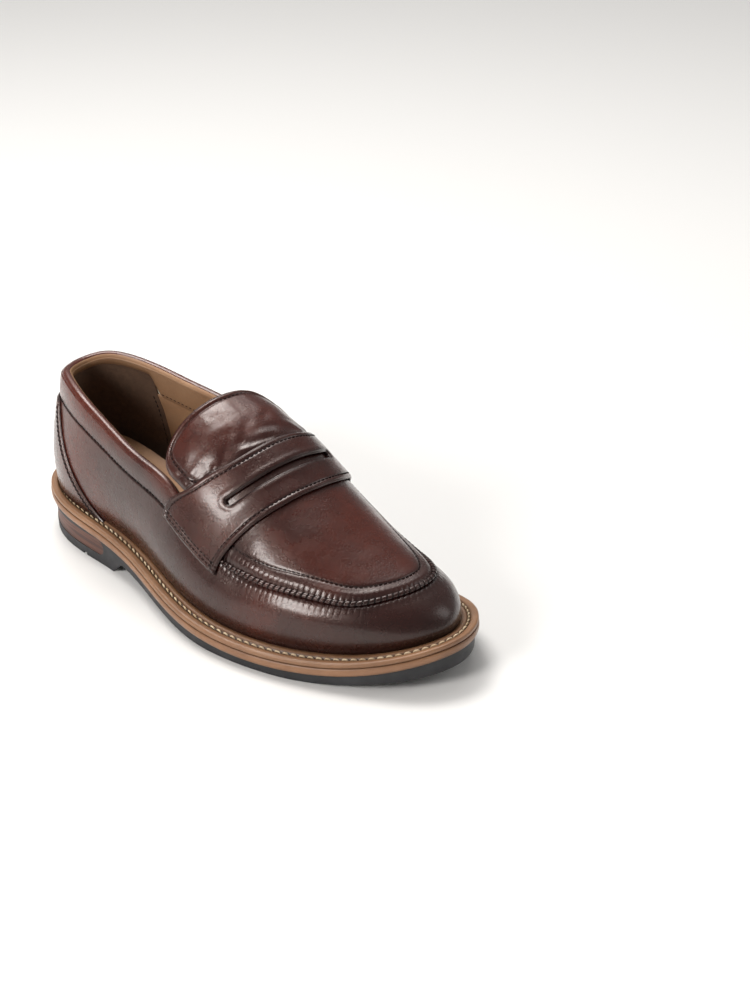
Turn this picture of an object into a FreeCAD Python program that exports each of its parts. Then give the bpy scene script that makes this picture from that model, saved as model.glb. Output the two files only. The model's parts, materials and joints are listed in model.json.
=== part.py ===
import FreeCAD, Part
import math
import os
import Sketcher

# Penny loafer, right shoe.  Row frame: +Z up, millimetres, toe towards -Y, outer side towards -X,
# origin on the ground under the middle of the sole.
# Shoe coordinates used below: a = distance forward of the heel datum, x = towards the inner side,
# z = height above the ground.
os.makedirs("parts", exist_ok=True)
doc = FreeCAD.newDocument("penny_loafer")

# ---------------------------------------------------------------- driving dimensions
SIZES = {
    "frame_forward": 155.5,      # a of the row origin
    "frame_side": 5.2,           # x of the row origin, negated
    "welt_thick": 3.0,
    "midsole_thick": 5.0,
    "outsole_taper_low": 2.2,
    "outsole_inset_high": 0.8,
    "midsole_inset": 0.0,
    "channel_near": 4.0,         # stitch channel, from the welt's edge
    "channel_far": 6.4,
    "channel_deep": 0.9,
    "inlay_low": 5.5,
    "inlay_high": 15.0,
    "inlay_front": 80.0,
    "inlay_recess": 2.3,
    "inlay_deep": 7.0,
    "heel_front": 88.0,
    "breast_run": 9.0,
    "layer_gap": 0.05,
    "leather": 1.6,
    "board_thick": 2.0,
    "foam_heel": 9.0,
    "foam_toe": 5.0,
    "sock_thick": 1.2,
    "collar_roll": 2.6,
    "shank_wide": 15.0,
    "shank_thick": 1.2,
    "strap_lift": 1.3,
    "slot_wide": 4.6,
    "cut_wide": 200.0,
}
sheet = doc.addObject("Spreadsheet::Sheet", "sizes")
for row, (name, value) in enumerate(SIZES.items(), start=1):
    sheet.set("A%d" % row, name)
    sheet.set("B%d" % row, str(value))
    sheet.setAlias("B%d" % row, name)
doc.recompute()


def size(name):
    return float(sheet.get(name))


FORWARD = size("frame_forward")
SIDE = size("frame_side")
GAP = size("layer_gap")
LEATHER = size("leather")


# ---------------------------------------------------------------- smooth curves
def solve(matrix, right):
    """Gaussian elimination; every row of `right` may hold several values."""
    count = len(right)
    rows = [list(m) + list(r) for m, r in zip(matrix, right)]
    for i in range(count):
        pick = max(range(i, count), key=lambda k: abs(rows[k][i]))
        rows[i], rows[pick] = rows[pick], rows[i]
        for k in range(i + 1, count):
            factor = rows[k][i] / rows[i][i]
            if factor:
                rows[k] = [p - factor * q for p, q in zip(rows[k], rows[i])]
    result = [None] * count
    for i in reversed(range(count)):
        values = rows[i][count:]
        for k in range(i + 1, count):
            values = [v - rows[i][k] * w for v, w in zip(values, result[k])]
        result[i] = [v / rows[i][i] for v in values]
    return result


class Curve:
    """Cubic spline through values at knots: natural, or closed when the last value repeats the first."""

    def __init__(self, knots, values, closed=False):
        self.knots = list(knots)
        self.values = [tuple(v) if hasattr(v, "__len__") else (v,) for v in values]
        self.closed = closed
        count = len(self.knots)
        step = [q - p for p, q in zip(self.knots, self.knots[1:])]
        pairs = zip(self.values, self.values[1:], step)
        slope = [[(q - p) / h for p, q in zip(low, high)] for low, high, h in pairs]
        rows = count - 1 if closed else count
        matrix = [[0.0] * rows for _ in range(rows)]
        right = [[0.0] * len(self.values[0]) for _ in range(rows)]
        for i in range(rows):
            if not closed and i in (0, count - 1):
                matrix[i][i] = 1.0
                continue
            matrix[i][i] += 2 * (step[i - 1] + step[i])
            matrix[i][(i - 1) % rows] += step[i - 1]
            matrix[i][(i + 1) % rows] += step[i]
            right[i] = [6 * (q - p) for p, q in zip(slope[i - 1], slope[i])]
        self.bend = solve(matrix, right)
        if closed:
            self.bend.append(self.bend[0])

    def __call__(self, at):
        first, last = self.knots[0], self.knots[-1]
        if self.closed:
            at = first + (at - first) % (last - first)
        inside = min(max(at, first), last)
        i = 0
        while i < len(self.knots) - 2 and inside > self.knots[i + 1]:
            i += 1
        h = self.knots[i + 1] - self.knots[i]
        p, q = (self.knots[i + 1] - inside) / h, (inside - self.knots[i]) / h
        result = []
        for y0, y1, c0, c1 in zip(self.values[i], self.values[i + 1], self.bend[i], self.bend[i + 1]):
            value = p * y0 + q * y1 + h * h / 6 * ((p ** 3 - p) * c0 + (q ** 3 - q) * c1)
            slope = (y1 - y0) / h + h / 6 * ((1 - 3 * p * p) * c0 + (3 * q * q - 1) * c1)
            result.append(value + slope * (at - inside))
        return result[0] if len(result) == 1 else tuple(result)


def along(rows):
    return Curve([r[0] for r in rows], [r[1] for r in rows])


# ---------------------------------------------------------------- the last: heights and outlines
shelf = along([(0, 28.4), (30, 27.2), (60, 25.6), (90, 23), (120, 19.8), (150, 16.6), (180, 14),
               (205, 13), (235, 13.6), (265, 17), (302, 27.5)])
crest = along([(112, 114), (128, 110.5), (140, 107.5), (155, 103), (168, 98.3), (178, 93.5), (190, 86.5),
               (203, 78.3), (220, 69), (233, 62), (249, 54.5), (260, 50), (275, 44.5), (285, 41)])
ridge = along([(112, 8), (150, 8), (180, 8), (203, 5), (222, 3), (280, 3)])
drop_outer = along([(112, 41), (130, 37), (142, 31.5), (150, 29), (160, 28), (182, 28), (200, 24.2),
                    (217, 22.6), (234, 20.6), (250, 20.1), (275, 21)])
drop_inner = along([(112, 60), (130, 62), (150, 64), (168, 66), (182, 62), (203, 49), (222, 45.7),
                    (238, 43), (250, 42), (262, 38), (275, 30)])


def instep(a, x):
    """Height of the instep surface that the apron, the tongue and the saddle follow."""
    reach = (x - ridge(a)) / 45.0
    inner = 0.5 + 0.5 * math.tanh((x - ridge(a)) / 12.0)
    drop = drop_outer(a) * (1 - inner) + drop_inner(a) * inner
    return crest(a) - drop * (0.75 * reach ** 2 + 0.25 * reach ** 4)


def instep_up(a, x):
    """Unit normal of the instep surface, upwards."""
    slope_a = instep(a + 0.5, x) - instep(a - 0.5, x)
    slope_x = instep(a, x + 0.5) - instep(a, x - 0.5)
    length = math.sqrt(slope_a ** 2 + slope_x ** 2 + 1)
    return (-slope_a / length, -slope_x / length, 1 / length)


def over_instep(a, x, lift):
    return [c + lift * k for c, k in zip((a, x, instep(a, x)), instep_up(a, x))]


# Round the shoe from the back, outer side first:
# welt edge (a, x), feather inset, top edge (a, x, z or None for the seam on the instep), outward lean,
# angle at which the wall meets the top edge, roll of the padded edge
LOOP = [
    ((9, 3), 6.0, (25, 3, 95.5), 0.10, 78, 1.0),
    ((12.5, -11.5), 6.0, (28.5, -10.5, 96), 0.10, 80, 1.0),
    ((28, -27), 6.0, (39, -20.5, 96), 0.14, 82, 1.0),
    ((50, -35.5), 6.5, (56, -27.5, 93), 0.20, 84, 1.0),
    ((80, -39.5), 7.5, (82, -32.5, 84.5), 0.30, 84, 1.0),
    ((110, -45.5), 8.5, (108, -36.5, 76.5), 0.34, 84, 1.0),
    ((140, -55.5), 9.0, (135, -40, 71), 0.30, 80, 1.0),
    ((170, -63), 9.5, (160, -44, 57), 0.22, 70, 0.4),
    ((200, -63.5), 9.5, (191, -47, None), 0.22, 52, 0.0),
    ((228, -58.5), 9.5, (218, -45, None), 0.24, 40, 0.0),
    ((252, -50), 9.5, (243, -37.5, None), 0.25, 30, 0.0),
    ((274, -38.5), 9.5, (260, -27, None), 0.25, 24, 0.0),
    ((290.5, -25), 9.5, (269.5, -13, None), 0.25, 20, 0.0),
    ((302, 0), 9.5, (273.5, 3, None), 0.22, 18, 0.0),
    ((291.5, 26), 9.5, (269, 17, None), 0.20, 20, 0.0),
    ((275, 39.5), 9.5, (257, 26, None), 0.20, 26, 0.0),
    ((252, 47), 9.5, (240, 32.5, None), 0.18, 36, 0.0),
    ((228, 52), 9.5, (218, 37.0, None), 0.16, 48, 0.0),
    ((200, 53), 9.5, (190, 41, None), 0.14, 58, 0.0),
    ((170, 48), 9.0, (162, 40, 66), 0.16, 72, 0.4),
    ((140, 38), 8.0, (137, 36.5, 79), 0.26, 82, 1.0),
    ((110, 30.5), 7.5, (109, 33, 86.5), 0.40, 84, 1.0),
    ((80, 30), 6.5, (84, 31, 90), 0.34, 84, 1.0),
    ((50, 33), 6.5, (58, 28, 94), 0.22, 84, 1.0),
    ((28, 30.5), 6.0, (40, 22.5, 96.5), 0.14, 82, 1.0),
    ((12.5, 17.5), 6.0, (29, 14, 96.5), 0.10, 80, 1.0),
]
SEAM_DIP = 1.0
LIP = 0.12                       # least share of the roll: the turned lip along the seam


def loop_knots():
    points = [row[0] for row in LOOP] + [LOOP[0][0]]
    total = [0.0]
    for p, q in zip(points, points[1:]):
        total.append(total[-1] + math.dist(p, q))
    return [t / total[-1] for t in total]


KNOTS = loop_knots()


def round_loop(values):
    return Curve(KNOTS, values + [values[0]], closed=True)


def top_point(row):
    a, x, z = row[2]
    return (a, x, instep(a, x) - SEAM_DIP if z is None else z)


outline = round_loop([row[0] for row in LOOP])
feather_inset = round_loop([row[1] for row in LOOP])
top_edge = round_loop([top_point(row) for row in LOOP])
lean = round_loop([row[3] for row in LOOP])
arrival = round_loop([row[4] for row in LOOP])
roll_share = round_loop([row[5] for row in LOOP])


def outward(u):
    p, q = outline(u - 1e-4), outline(u + 1e-4)
    da, dx = q[0] - p[0], q[1] - p[1]
    n = math.hypot(da, dx)
    return (dx / n, -da / n)


def inset(u, distance):
    """Point of the welt outline moved inwards."""
    a, x = outline(u)
    na, nx = outward(u)
    return (a - distance * na, x - distance * nx)


def wall(u, v):
    """Outer face of the upper: v = 0 at the welt, v = 1 at the top edge."""
    na, nx = outward(u)
    fa, fx = inset(u, feather_inset(u))
    foot = (fa, fx, shelf(fa) + 0.1)
    head = top_edge(u)
    reach = 0.40 * math.dist(foot, head)
    b = lean(u)
    n = math.hypot(1, b)
    low = (fa + na * b / n * reach, fx + nx * b / n * reach, foot[2] + reach / n)
    angle = math.radians(arrival(u))
    flat = math.cos(angle) * reach
    high = (head[0] + na * flat, head[1] + nx * flat, head[2] - math.sin(angle) * reach)
    w = 1 - v
    return [w ** 3 * i + 3 * w * w * v * j + 3 * w * v * v * k + v ** 3 * m
            for i, j, k, m in zip(foot, low, high, head)]


def inward_normal(u, v):
    """Unit normal of the wall, into the shoe; kept level next to the welt."""
    lo, hi = max(v - 0.01, 0.0), min(v + 0.01, 1.0)
    du = [q - p for p, q in zip(wall(u - 5e-4, v), wall(u + 5e-4, v))]
    dv = [q - p for p, q in zip(wall(u, lo), wall(u, hi))]
    n = [du[1] * dv[2] - du[2] * dv[1], du[2] * dv[0] - du[0] * dv[2], du[0] * dv[1] - du[1] * dv[0]]
    na, nx = outward(u)
    if n[0] * na + n[1] * nx > 0 or (abs(n[0] * na + n[1] * nx) < 1e-9 and n[2] > 0):
        n = [-c for c in n]
    n[2] *= min(1.0, v / 0.2)
    length = math.sqrt(sum(c * c for c in n))
    return [c / length for c in n]


def skin(u, v, depth):
    """Point at a depth under the outer face; v above 1 goes over the rolled edge (1..2 = 0..180 deg)."""
    if v <= 1:
        p, n = wall(u, v), inward_normal(u, v)
        return [c + depth * k for c, k in zip(p, n)]
    p, n = wall(u, 1), inward_normal(u, 1)
    q = wall(u, 0.97)
    up = [i - j for i, j in zip(p, q)]
    length = math.sqrt(sum(c * c for c in up))
    up = [c / length for c in up]
    radius = size("collar_roll")
    turn = math.pi * (v - 1) * min(max(roll_share(u), LIP), 1.0)
    out = radius - depth
    return [c + k * (radius - out * math.cos(turn)) + t * out * math.sin(turn)
            for c, k, t in zip(p, n, up)]


def row_point(p):
    """Shoe coordinates to the row frame."""
    return FreeCAD.Vector(p[1] + SIDE, FORWARD - p[0], p[2])


def station(a, inner):
    """Loop parameter where the welt outline passes a, on the inner or the outer side."""
    lo, hi = (KNOTS[13], 1.0) if inner else (0.0, KNOTS[13])
    for _ in range(40):
        mid = 0.5 * (lo + hi)
        ahead = outline(mid)[0] > a
        if ahead != inner:
            hi = mid
        else:
            lo = mid
    return 0.5 * (lo + hi)


# ---------------------------------------------------------------- building helpers
pieces = {}


def spread(first, last, count):
    return [first + (last - first) * i / (count - 1) for i in range(count)]


def skin_face(grid):
    surface = Part.BSplineSurface()
    surface.interpolate(grid)
    return surface.toShape()


def middle(edge):
    return edge.valueAt((edge.FirstParameter + edge.LastParameter) / 2)


def patch_solid(front, back):
    """Closed solid between two matching grids of points."""
    faces = [skin_face(front), skin_face(back)]
    for edge in list(faces[0].Edges):
        twin = min(faces[1].Edges, key=lambda e: middle(e).distanceToPoint(middle(edge)))
        faces.append(Part.makeRuledSurface(edge, twin, 1))
    sewn = Part.Compound(faces)
    sewn.sewShape(1e-3)
    solid = Part.Solid(sewn.Shells[0])
    if solid.Volume < 0:
        solid.reverse()
    return solid


def keep(name, shape):
    """A leather or textile piece whose free-form skin has no parametric feature."""
    item = doc.addObject("Part::Feature", name)
    item.Label = name
    item.Shape = shape
    item.Placement = FreeCAD.Placement()
    pieces[name] = item
    return item


def wall_piece(first, last, rows, outer_depth, inner_depth, columns):
    """Patch of the upper between two loop parameters; rows and depths may depend on u."""
    front, back = [], []
    for u in spread(first, last, columns):
        heights = rows(u) if callable(rows) else rows
        outer = outer_depth if callable(outer_depth) else (lambda u, v, d=outer_depth: d)
        inner = inner_depth if callable(inner_depth) else (lambda u, v, d=inner_depth: d)
        front.append([row_point(skin(u, v, outer(u, v))) for v in heights])
        back.append([row_point(skin(u, v, inner(u, v))) for v in heights])
    return patch_solid(front, back)


def slab(low, high, a_range, x_range, steps):
    """Solid between two levels over the instep surface, on a plan rectangle."""
    def grid(lift):
        return [[row_point(over_instep(a, x, lift)) for x in spread(x_range[0], x_range[1], steps[1])]
                for a in spread(a_range[0], a_range[1], steps[0])]
    return patch_solid(grid(high), grid(low))


def prism(points, low=-20.0, high=160.0):
    """Upright prism on a smooth closed outline given as (a, x)."""
    curve = Part.BSplineCurve()
    base = [FreeCAD.Vector(x + SIDE, FORWARD - a, low) for a, x in points]
    curve.interpolate(Points=base, PeriodicFlag=True)
    face = Part.Face(Part.Wire(curve.toShape()))
    return face.extrude(FreeCAD.Vector(0, 0, high - low))


def thread(path, wide, high):
    """One row of stitching as a thin strip; path gives (point, sideways, up) in shoe coordinates."""
    top, low = [], []
    for p, side, up in path:
        left = [c - s * wide / 2 for c, s in zip(p, side)]
        right = [c + s * wide / 2 for c, s in zip(p, side)]
        low.append([row_point(left), row_point(right)])
        top.append([row_point([c + t * high for c, t in zip(left, up)]),
                    row_point([c + t * high for c, t in zip(right, up)])])
    return patch_solid(top, low)


# ---------------------------------------------------------------- bottom unit (PartDesign)
def origin_plane(body, role):
    return [f for f in body.Origin.OriginFeatures if f.Role == role][0]


def sketch_on(body, role, name, lift=None):
    sketch = body.newObject("Sketcher::SketchObject", name)
    sketch.AttachmentSupport = [(origin_plane(body, role), "")]
    sketch.MapMode = "FlatFace"
    if lift:
        sketch.setExpression("AttachmentOffset.Base.z", lift)
    return sketch


def add_outline(sketch, distance):
    curve = Part.BSplineCurve()
    points = [inset(u, distance) for u in KNOTS[:-1]]
    curve.interpolate(Points=[FreeCAD.Vector(x + SIDE, FORWARD - a, 0) for a, x in points], PeriodicFlag=True)
    sketch.addGeometry(curve, False)


def add_rectangle(sketch, x0, y0, x1, y1):
    corners = [FreeCAD.Vector(x0, y0, 0), FreeCAD.Vector(x1, y0, 0),
               FreeCAD.Vector(x1, y1, 0), FreeCAD.Vector(x0, y1, 0)]
    for p, q in zip(corners, corners[1:] + corners[:1]):
        sketch.addGeometry(Part.LineSegment(p, q), False)


def add_profile(sketch, runs):
    """Closed side-view outline from runs of (a, z): two points give a line, more give a curve."""
    for points in runs:
        vectors = [FreeCAD.Vector(FORWARD - a, z, 0) for a, z in points]
        if len(vectors) == 2:
            sketch.addGeometry(Part.LineSegment(vectors[0], vectors[1]), False)
        else:
            curve = Part.BSplineCurve()
            curve.interpolate(vectors)
            sketch.addGeometry(curve, False)


def cut_side(body, name, runs):
    sketch = sketch_on(body, "YZ_Plane", name + "_sketch")
    add_profile(sketch, runs)
    cut = body.newObject("PartDesign::Pocket", name)
    cut.Profile = sketch
    cut.Type = "Length"
    cut.Midplane = True
    cut.setExpression("Length", "sizes.cut_wide")
    return cut


def shelf_line(below, first=-10, last=320):
    stops = [first, 9, 20, 35, 50, 70, 90, 110, 130, 150, 165, 180, 195, 210, 225, 240, 255, 270, 285, 300]
    return [(a, shelf(a) - below) for a in stops + [last] if first <= a <= last]


def sole_layer(name, low_inset, high_inset, top_below, bottom_runs):
    """Layer of the bottom unit: an outline loft trimmed by a top line and a bottom line."""
    body = doc.addObject("PartDesign::Body", name)
    low = sketch_on(body, "XY_Plane", name + "_low")
    add_outline(low, low_inset)
    high = sketch_on(body, "XY_Plane", name + "_high", "sizes.inlay_high * 3")
    add_outline(high, high_inset)
    loft = body.newObject("PartDesign::AdditiveLoft", name + "_loft")
    loft.Profile = low
    loft.Sections = [high]
    top = shelf_line(top_below)
    cut_side(body, name + "_top", [top, [top[-1], (320, 80)], [(320, 80), (-10, 80)], [(-10, 80), top[0]]])
    if bottom_runs:
        first, last = bottom_runs[0][0], bottom_runs[-1][-1]
        cut_side(body, name + "_bottom", bottom_runs + [[last, (320, -40)], [(320, -40), (-10, -40)],
                                                        [(-10, -40), first]])
    return body


def cut_inside(body, name, distance):
    sketch = sketch_on(body, "XY_Plane", name + "_sketch")
    add_outline(sketch, distance)
    cut = body.newObject("PartDesign::Pocket", name)
    cut.Profile = sketch
    cut.Midplane = True
    cut.setExpression("Length", "sizes.cut_wide")
    return cut


WELT = size("welt_thick")
MID = size("midsole_thick")
HEEL_FRONT = size("heel_front")
BREAST = HEEL_FRONT + size("breast_run")
WAIST_LOW = shelf(BREAST) - WELT - MID - 6.0

ground_runs = [
    [(-10, 0), (HEEL_FRONT, 0)],
    [(HEEL_FRONT, 0), (BREAST, WAIST_LOW)],
    [(BREAST, WAIST_LOW), (120, 5.6), (150, 2.3), (172, 0.4), (186, 0)],
    [(186, 0), (228, 0)],
    [(228, 0), (245, 0.8), (265, 3.2), (285, 6.8), (303, 11.3), (320, 16)],
]
outsole_core = sole_layer("outsole_core", size("outsole_taper_low"), size("outsole_inset_high"),
                          WELT + MID + GAP, ground_runs)

# tread: shallow cross grooves in the forepart and one across the heel
tread = sketch_on(outsole_core, "XY_Plane", "tread_sketch")
for a in (190, 198, 206, 214, 222):
    add_rectangle(tread, -38 + SIDE, FORWARD - a - 1.5, 34 + SIDE, FORWARD - a + 1.5)
add_rectangle(tread, -60 + SIDE, FORWARD - 63.5, 60 + SIDE, FORWARD - 60.5)
tread_cut = outsole_core.newObject("PartDesign::Pocket", "tread_grooves")
tread_cut.Profile = tread
tread_cut.Midplane = True
tread_cut.Length = 3.0


def heel_band(name, low, high, front, recess, deep):
    """Band round the heel: side strip with a round front end, kept between two outlines."""
    body = doc.addObject("PartDesign::Body", name)
    side = sketch_on(body, "YZ_Plane", name + "_side")
    mid, half = (low + high) / 2, (high - low) / 2
    back_y, front_y = FORWARD + 5, FORWARD - front + half
    side.addGeometry(Part.LineSegment(FreeCAD.Vector(back_y, low, 0), FreeCAD.Vector(front_y, low, 0)), False)
    side.addGeometry(Part.LineSegment(FreeCAD.Vector(back_y, high, 0), FreeCAD.Vector(front_y, high, 0)), False)
    side.addGeometry(Part.LineSegment(FreeCAD.Vector(back_y, low, 0), FreeCAD.Vector(back_y, high, 0)), False)
    nose = Part.Arc(FreeCAD.Vector(front_y, low, 0), FreeCAD.Vector(front_y - half, mid, 0),
                    FreeCAD.Vector(front_y, high, 0))
    side.addGeometry(nose, False)
    pad = body.newObject("PartDesign::Pad", name + "_pad")
    pad.Profile = side
    pad.Midplane = True
    pad.setExpression("Length", "sizes.cut_wide")
    ring = sketch_on(body, "XY_Plane", name + "_ring")
    add_rectangle(ring, -150, -200, 150, 200)
    add_outline(ring, recess)
    outer = body.newObject("PartDesign::Pocket", name + "_outer")
    outer.Profile = ring
    outer.Midplane = True
    outer.setExpression("Length", "sizes.cut_wide")
    cut_inside(body, name + "_inner", deep)
    return body


LOW, HIGH = size("inlay_low"), size("inlay_high")
inlay = heel_band("heel_inlay", LOW, HIGH, size("inlay_front"), size("inlay_recess"), size("inlay_deep"))
groove = heel_band("heel_groove", LOW - GAP, HIGH + GAP, size("inlay_front") + GAP, -6.0,
                   size("inlay_deep") + GAP)
outsole = doc.addObject("Part::Cut", "outsole")
outsole.Base = outsole_core
outsole.Tool = groove
pieces["outsole"] = outsole
pieces["heel_inlay"] = inlay

midsole = sole_layer("midsole", size("midsole_inset"), size("midsole_inset"), WELT + GAP,
                     [shelf_line(WELT + MID)])
pieces["midsole"] = midsole

FEATHER = 11.0
welt_core = sole_layer("welt_core", 0.3, 0.3, 0.0, [shelf_line(WELT)])
cut_inside(welt_core, "welt_core_inner", FEATHER)
channel = sole_layer("welt_channel", size("channel_near"), size("channel_near"), -5.0,
                     [shelf_line(size("channel_deep"))])
cut_inside(channel, "welt_channel_inner", size("channel_far"))
welt = doc.addObject("Part::Cut", "welt")
welt.Base = welt_core
welt.Tool = channel
pieces["welt"] = welt

# cork filler inside the welt, with the steel shank let into it
filler_core = sole_layer("filler_core", FEATHER + 0.1, FEATHER + 0.1, 0.3, [shelf_line(WELT)])
SHANK_BACK, SHANK_FRONT = 62, 168


def shank_strip(name, grow):
    body = doc.addObject("PartDesign::Body", name)
    side = sketch_on(body, "YZ_Plane", name + "_side")
    stops = spread(SHANK_BACK - grow, SHANK_FRONT + grow, 9)
    high = [(a, shelf(a) - 0.9 + grow) for a in stops]
    low = [(a, shelf(a) - 0.9 - size("shank_thick") - grow) for a in stops]
    add_profile(side, [high, [high[-1], low[-1]], low[::-1], [low[0], high[0]]])
    pad = body.newObject("PartDesign::Pad", name + "_pad")
    pad.Profile = side
    pad.Midplane = True
    pad.setExpression("Length", "sizes.shank_wide + %g" % (2 * grow))
    return body


shank = shank_strip("shank", 0.0)
shank_room = shank_strip("shank_room", GAP)
filler = doc.addObject("Part::Cut", "bottom_filler")
filler.Base = filler_core
filler.Tool = shank_room
pieces["shank"] = shank
pieces["bottom_filler"] = filler

# footbed: board, foam and leather sock, inside the lined upper
LINED = 14.5
BOARD = size("board_thick")


def footbed_top(a):
    """Height of the foam's top: thick at the heel, thinner at the toe."""
    share = min(max((a - 60) / 140.0, 0.0), 1.0)
    share = share * share * (3 - 2 * share)
    return shelf(a) + BOARD + size("foam_heel") * (1 - share) + size("foam_toe") * share


def line_at(height):
    stops = [-10, 9, 20, 35, 50, 70, 90, 110, 130, 150, 165, 180, 195, 210, 225, 240, 255, 270, 285, 300, 320]
    return [(a, height(a)) for a in stops]


def footbed_layer(name, inset_by, low, high):
    body = doc.addObject("PartDesign::Body", name)
    base = sketch_on(body, "XY_Plane", name + "_outline")
    add_outline(base, inset_by)
    pad = body.newObject("PartDesign::Pad", name + "_pad")
    pad.Profile = base
    pad.setExpression("Length", "sizes.inlay_high * 5")
    top, bottom = line_at(high), line_at(low)
    cut_side(body, name + "_top", [top, [top[-1], (320, 120)], [(320, 120), (-10, 120)], [(-10, 120), top[0]]])
    cut_side(body, name + "_bottom", [bottom, [bottom[-1], (320, -40)], [(320, -40), (-10, -40)],
                                      [(-10, -40), bottom[0]]])
    pieces[name] = body
    return body


footbed_layer("insole_board", LINED, lambda a: shelf(a) + 0.15, lambda a: shelf(a) + BOARD)
footbed_layer("insole_foam", LINED + 0.4, lambda a: shelf(a) + BOARD + GAP, footbed_top)
footbed_layer("sock_liner", LINED + 0.2, lambda a: footbed_top(a) + GAP,
              lambda a: footbed_top(a) + size("sock_thick"))

# ---------------------------------------------------------------- upper
U_SEAM = station(168, True)
# rows stand closer together near the rolled edge
WALL_ROWS = spread(0, 0.72, 13) + [0.775, 0.82, 0.86, 0.895, 0.925, 0.95, 0.975, 1.0]
ROLL_ROWS = [1.2, 1.4, 1.6, 1.8, 1.95]
TURN = 0.0006

vamp_shape = wall_piece(TURN, U_SEAM - TURN, WALL_ROWS + ROLL_ROWS, 0.0, LEATHER, 61)
keep("vamp", vamp_shape)
keep("medial_quarter", wall_piece(U_SEAM + TURN, 1 - TURN, WALL_ROWS + ROLL_ROWS, 0.0, LEATHER, 33))

# heel counter: an overlay whose front edge sweeps back towards the top
COUNTER_TOP = 0.80


def counter_reach(v):
    """Share of the overlay's length left at height v (1 at the welt)."""
    return 1.0 - 0.62 * (v / COUNTER_TOP) ** 0.8


def counter_shape():
    outer_u, inner_u = station(76, False), station(76, True) - 1.0
    front, back = [], []
    for s in spread(-1, 1, 41):
        reach = inner_u if s < 0 else outer_u
        column = [(abs(s) * reach * counter_reach(v), v) for v in spread(0.0, COUNTER_TOP, 15)]
        front.append([row_point(skin(u % 1.0, v, -1.6)) for u, v in column])
        back.append([row_point(skin(u % 1.0, v, -0.2)) for u, v in column])
    return patch_solid(front, back)


keep("heel_counter", counter_shape())


def lining_depth(u, v):
    """The lining stands off further under the padded collar."""
    share = min(max((v - 0.62) / 0.24, 0.0), 1.0)
    share = share * share * (3 - 2 * share) * min(max(roll_share(u), 0.0), 1.0)
    return 2.9 + 1.3 * share


LINING = 0.9
U_GRIP_OUT, U_GRIP_IN = station(52, False), station(52, True)
U_LINE_OUT, U_LINE_IN = station(164, False), station(164, True)
LOW_ROWS = spread(0, 0.76, 14)
BAND_ROWS = spread(0.775, 0.97, 6)
FULL_ROWS = spread(0, 0.97, 18)


def inner_face(u, v):
    return lining_depth(u, v) + LINING


grip = wall_piece(U_GRIP_IN + TURN - 1.0, U_GRIP_OUT - TURN, FULL_ROWS, lining_depth, inner_face, 31)
keep("heel_grip", grip)
outer_lining = wall_piece(U_GRIP_OUT + TURN, U_LINE_OUT, LOW_ROWS, lining_depth, inner_face, 21)
keep("quarter_lining_outer", outer_lining)
inner_lining = wall_piece(U_LINE_IN, U_GRIP_IN - TURN, LOW_ROWS, lining_depth, inner_face, 21)
keep("quarter_lining_inner", inner_lining)
U_BAND_OUT, U_BAND_IN = station(150, False), station(150, True)
band_outer = wall_piece(U_GRIP_OUT + TURN, U_BAND_OUT, BAND_ROWS, lining_depth, inner_face, 21)
band_inner = wall_piece(U_BAND_IN, U_GRIP_IN - TURN, BAND_ROWS, lining_depth, inner_face, 21)
keep("collar_lining", Part.makeCompound([band_outer, band_inner]))
FOAM_ROWS = spread(0.66, 0.96, 7)


def foam_face(u, v):
    return lining_depth(u, v) - 0.1


keep("collar_foam", wall_piece(U_BAND_IN - 1.0, U_BAND_OUT, FOAM_ROWS, LEATHER + 0.1, foam_face, 45))
STIFF_ROWS = spread(0, 0.64, 11)
U_STIFF_OUT, U_STIFF_IN = station(78, False), station(78, True)
keep("heel_stiffener", wall_piece(U_STIFF_IN - 1.0, U_STIFF_OUT, STIFF_ROWS, LEATHER + 0.1, 2.8, 31))
keep("toe_puff", wall_piece(station(262, False), station(262, True), spread(0, 0.97, 9),
                            LEATHER + 0.1, 2.8, 25))
keep("vamp_lining", wall_piece(U_LINE_OUT + TURN, U_LINE_IN - TURN, spread(0, 0.95, 9),
                               2.9, 2.9 + LINING, 41))

# ---------------------------------------------------------------- apron, saddle and tongue
def seam_point(u, distance):
    """Plan point of the top edge, moved inwards."""
    a, x, _ = top_edge(u)
    pa, px, _ = top_edge(u - 1e-3)
    qa, qx, _ = top_edge(u + 1e-3)
    n = math.hypot(qa - pa, qx - px)
    return (a - distance * (qx - px) / n, x + distance * (qa - pa) / n)


REAR = [(142, -46), (152, -38.5), (166, -25), (173.5, -10), (177, 5), (178, 20), (171, 32), (162, 41),
        (157, 46)]
FRONT = [(180, -49), (187, -41), (197, -28), (204, -10), (207, 6), (205.5, 20), (199, 32), (191, 41),
         (186, 46)]
rear_line = Curve([p[1] for p in REAR], [p[0] for p in REAR])
front_line = Curve([p[1] for p in FRONT], [p[0] for p in FRONT])
STRAP_OUT, STRAP_IN = -47.5, 43.0


APRON_BACK_OUT, APRON_BACK_IN = station(194, False), station(194, True)
APRON_REAR = [(30, 7), (18, 7), (5, 7), (-10, 7), (-25, 7), (-34, 7.5), (-39, 9)]    # x, way ahead of the saddle


def apron_outline(distance):
    points = [seam_point(u, distance) for u in spread(APRON_BACK_OUT, APRON_BACK_IN, 30)]
    points += [(rear_line(x) + ahead + distance, x) for x, ahead in APRON_REAR]
    return points + [(174 + distance, -41 + 0.4 * distance)]


def apron_layer(top, thick, distance):
    body = slab(top - thick, top, (150, 284), (-55, 50), (33, 27))
    return body.common(prism(apron_outline(distance)))


keep("apron", apron_layer(0.4, 1.5, 1.6))
keep("apron_lining", apron_layer(-1.25, 0.8, 5.0))

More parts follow.
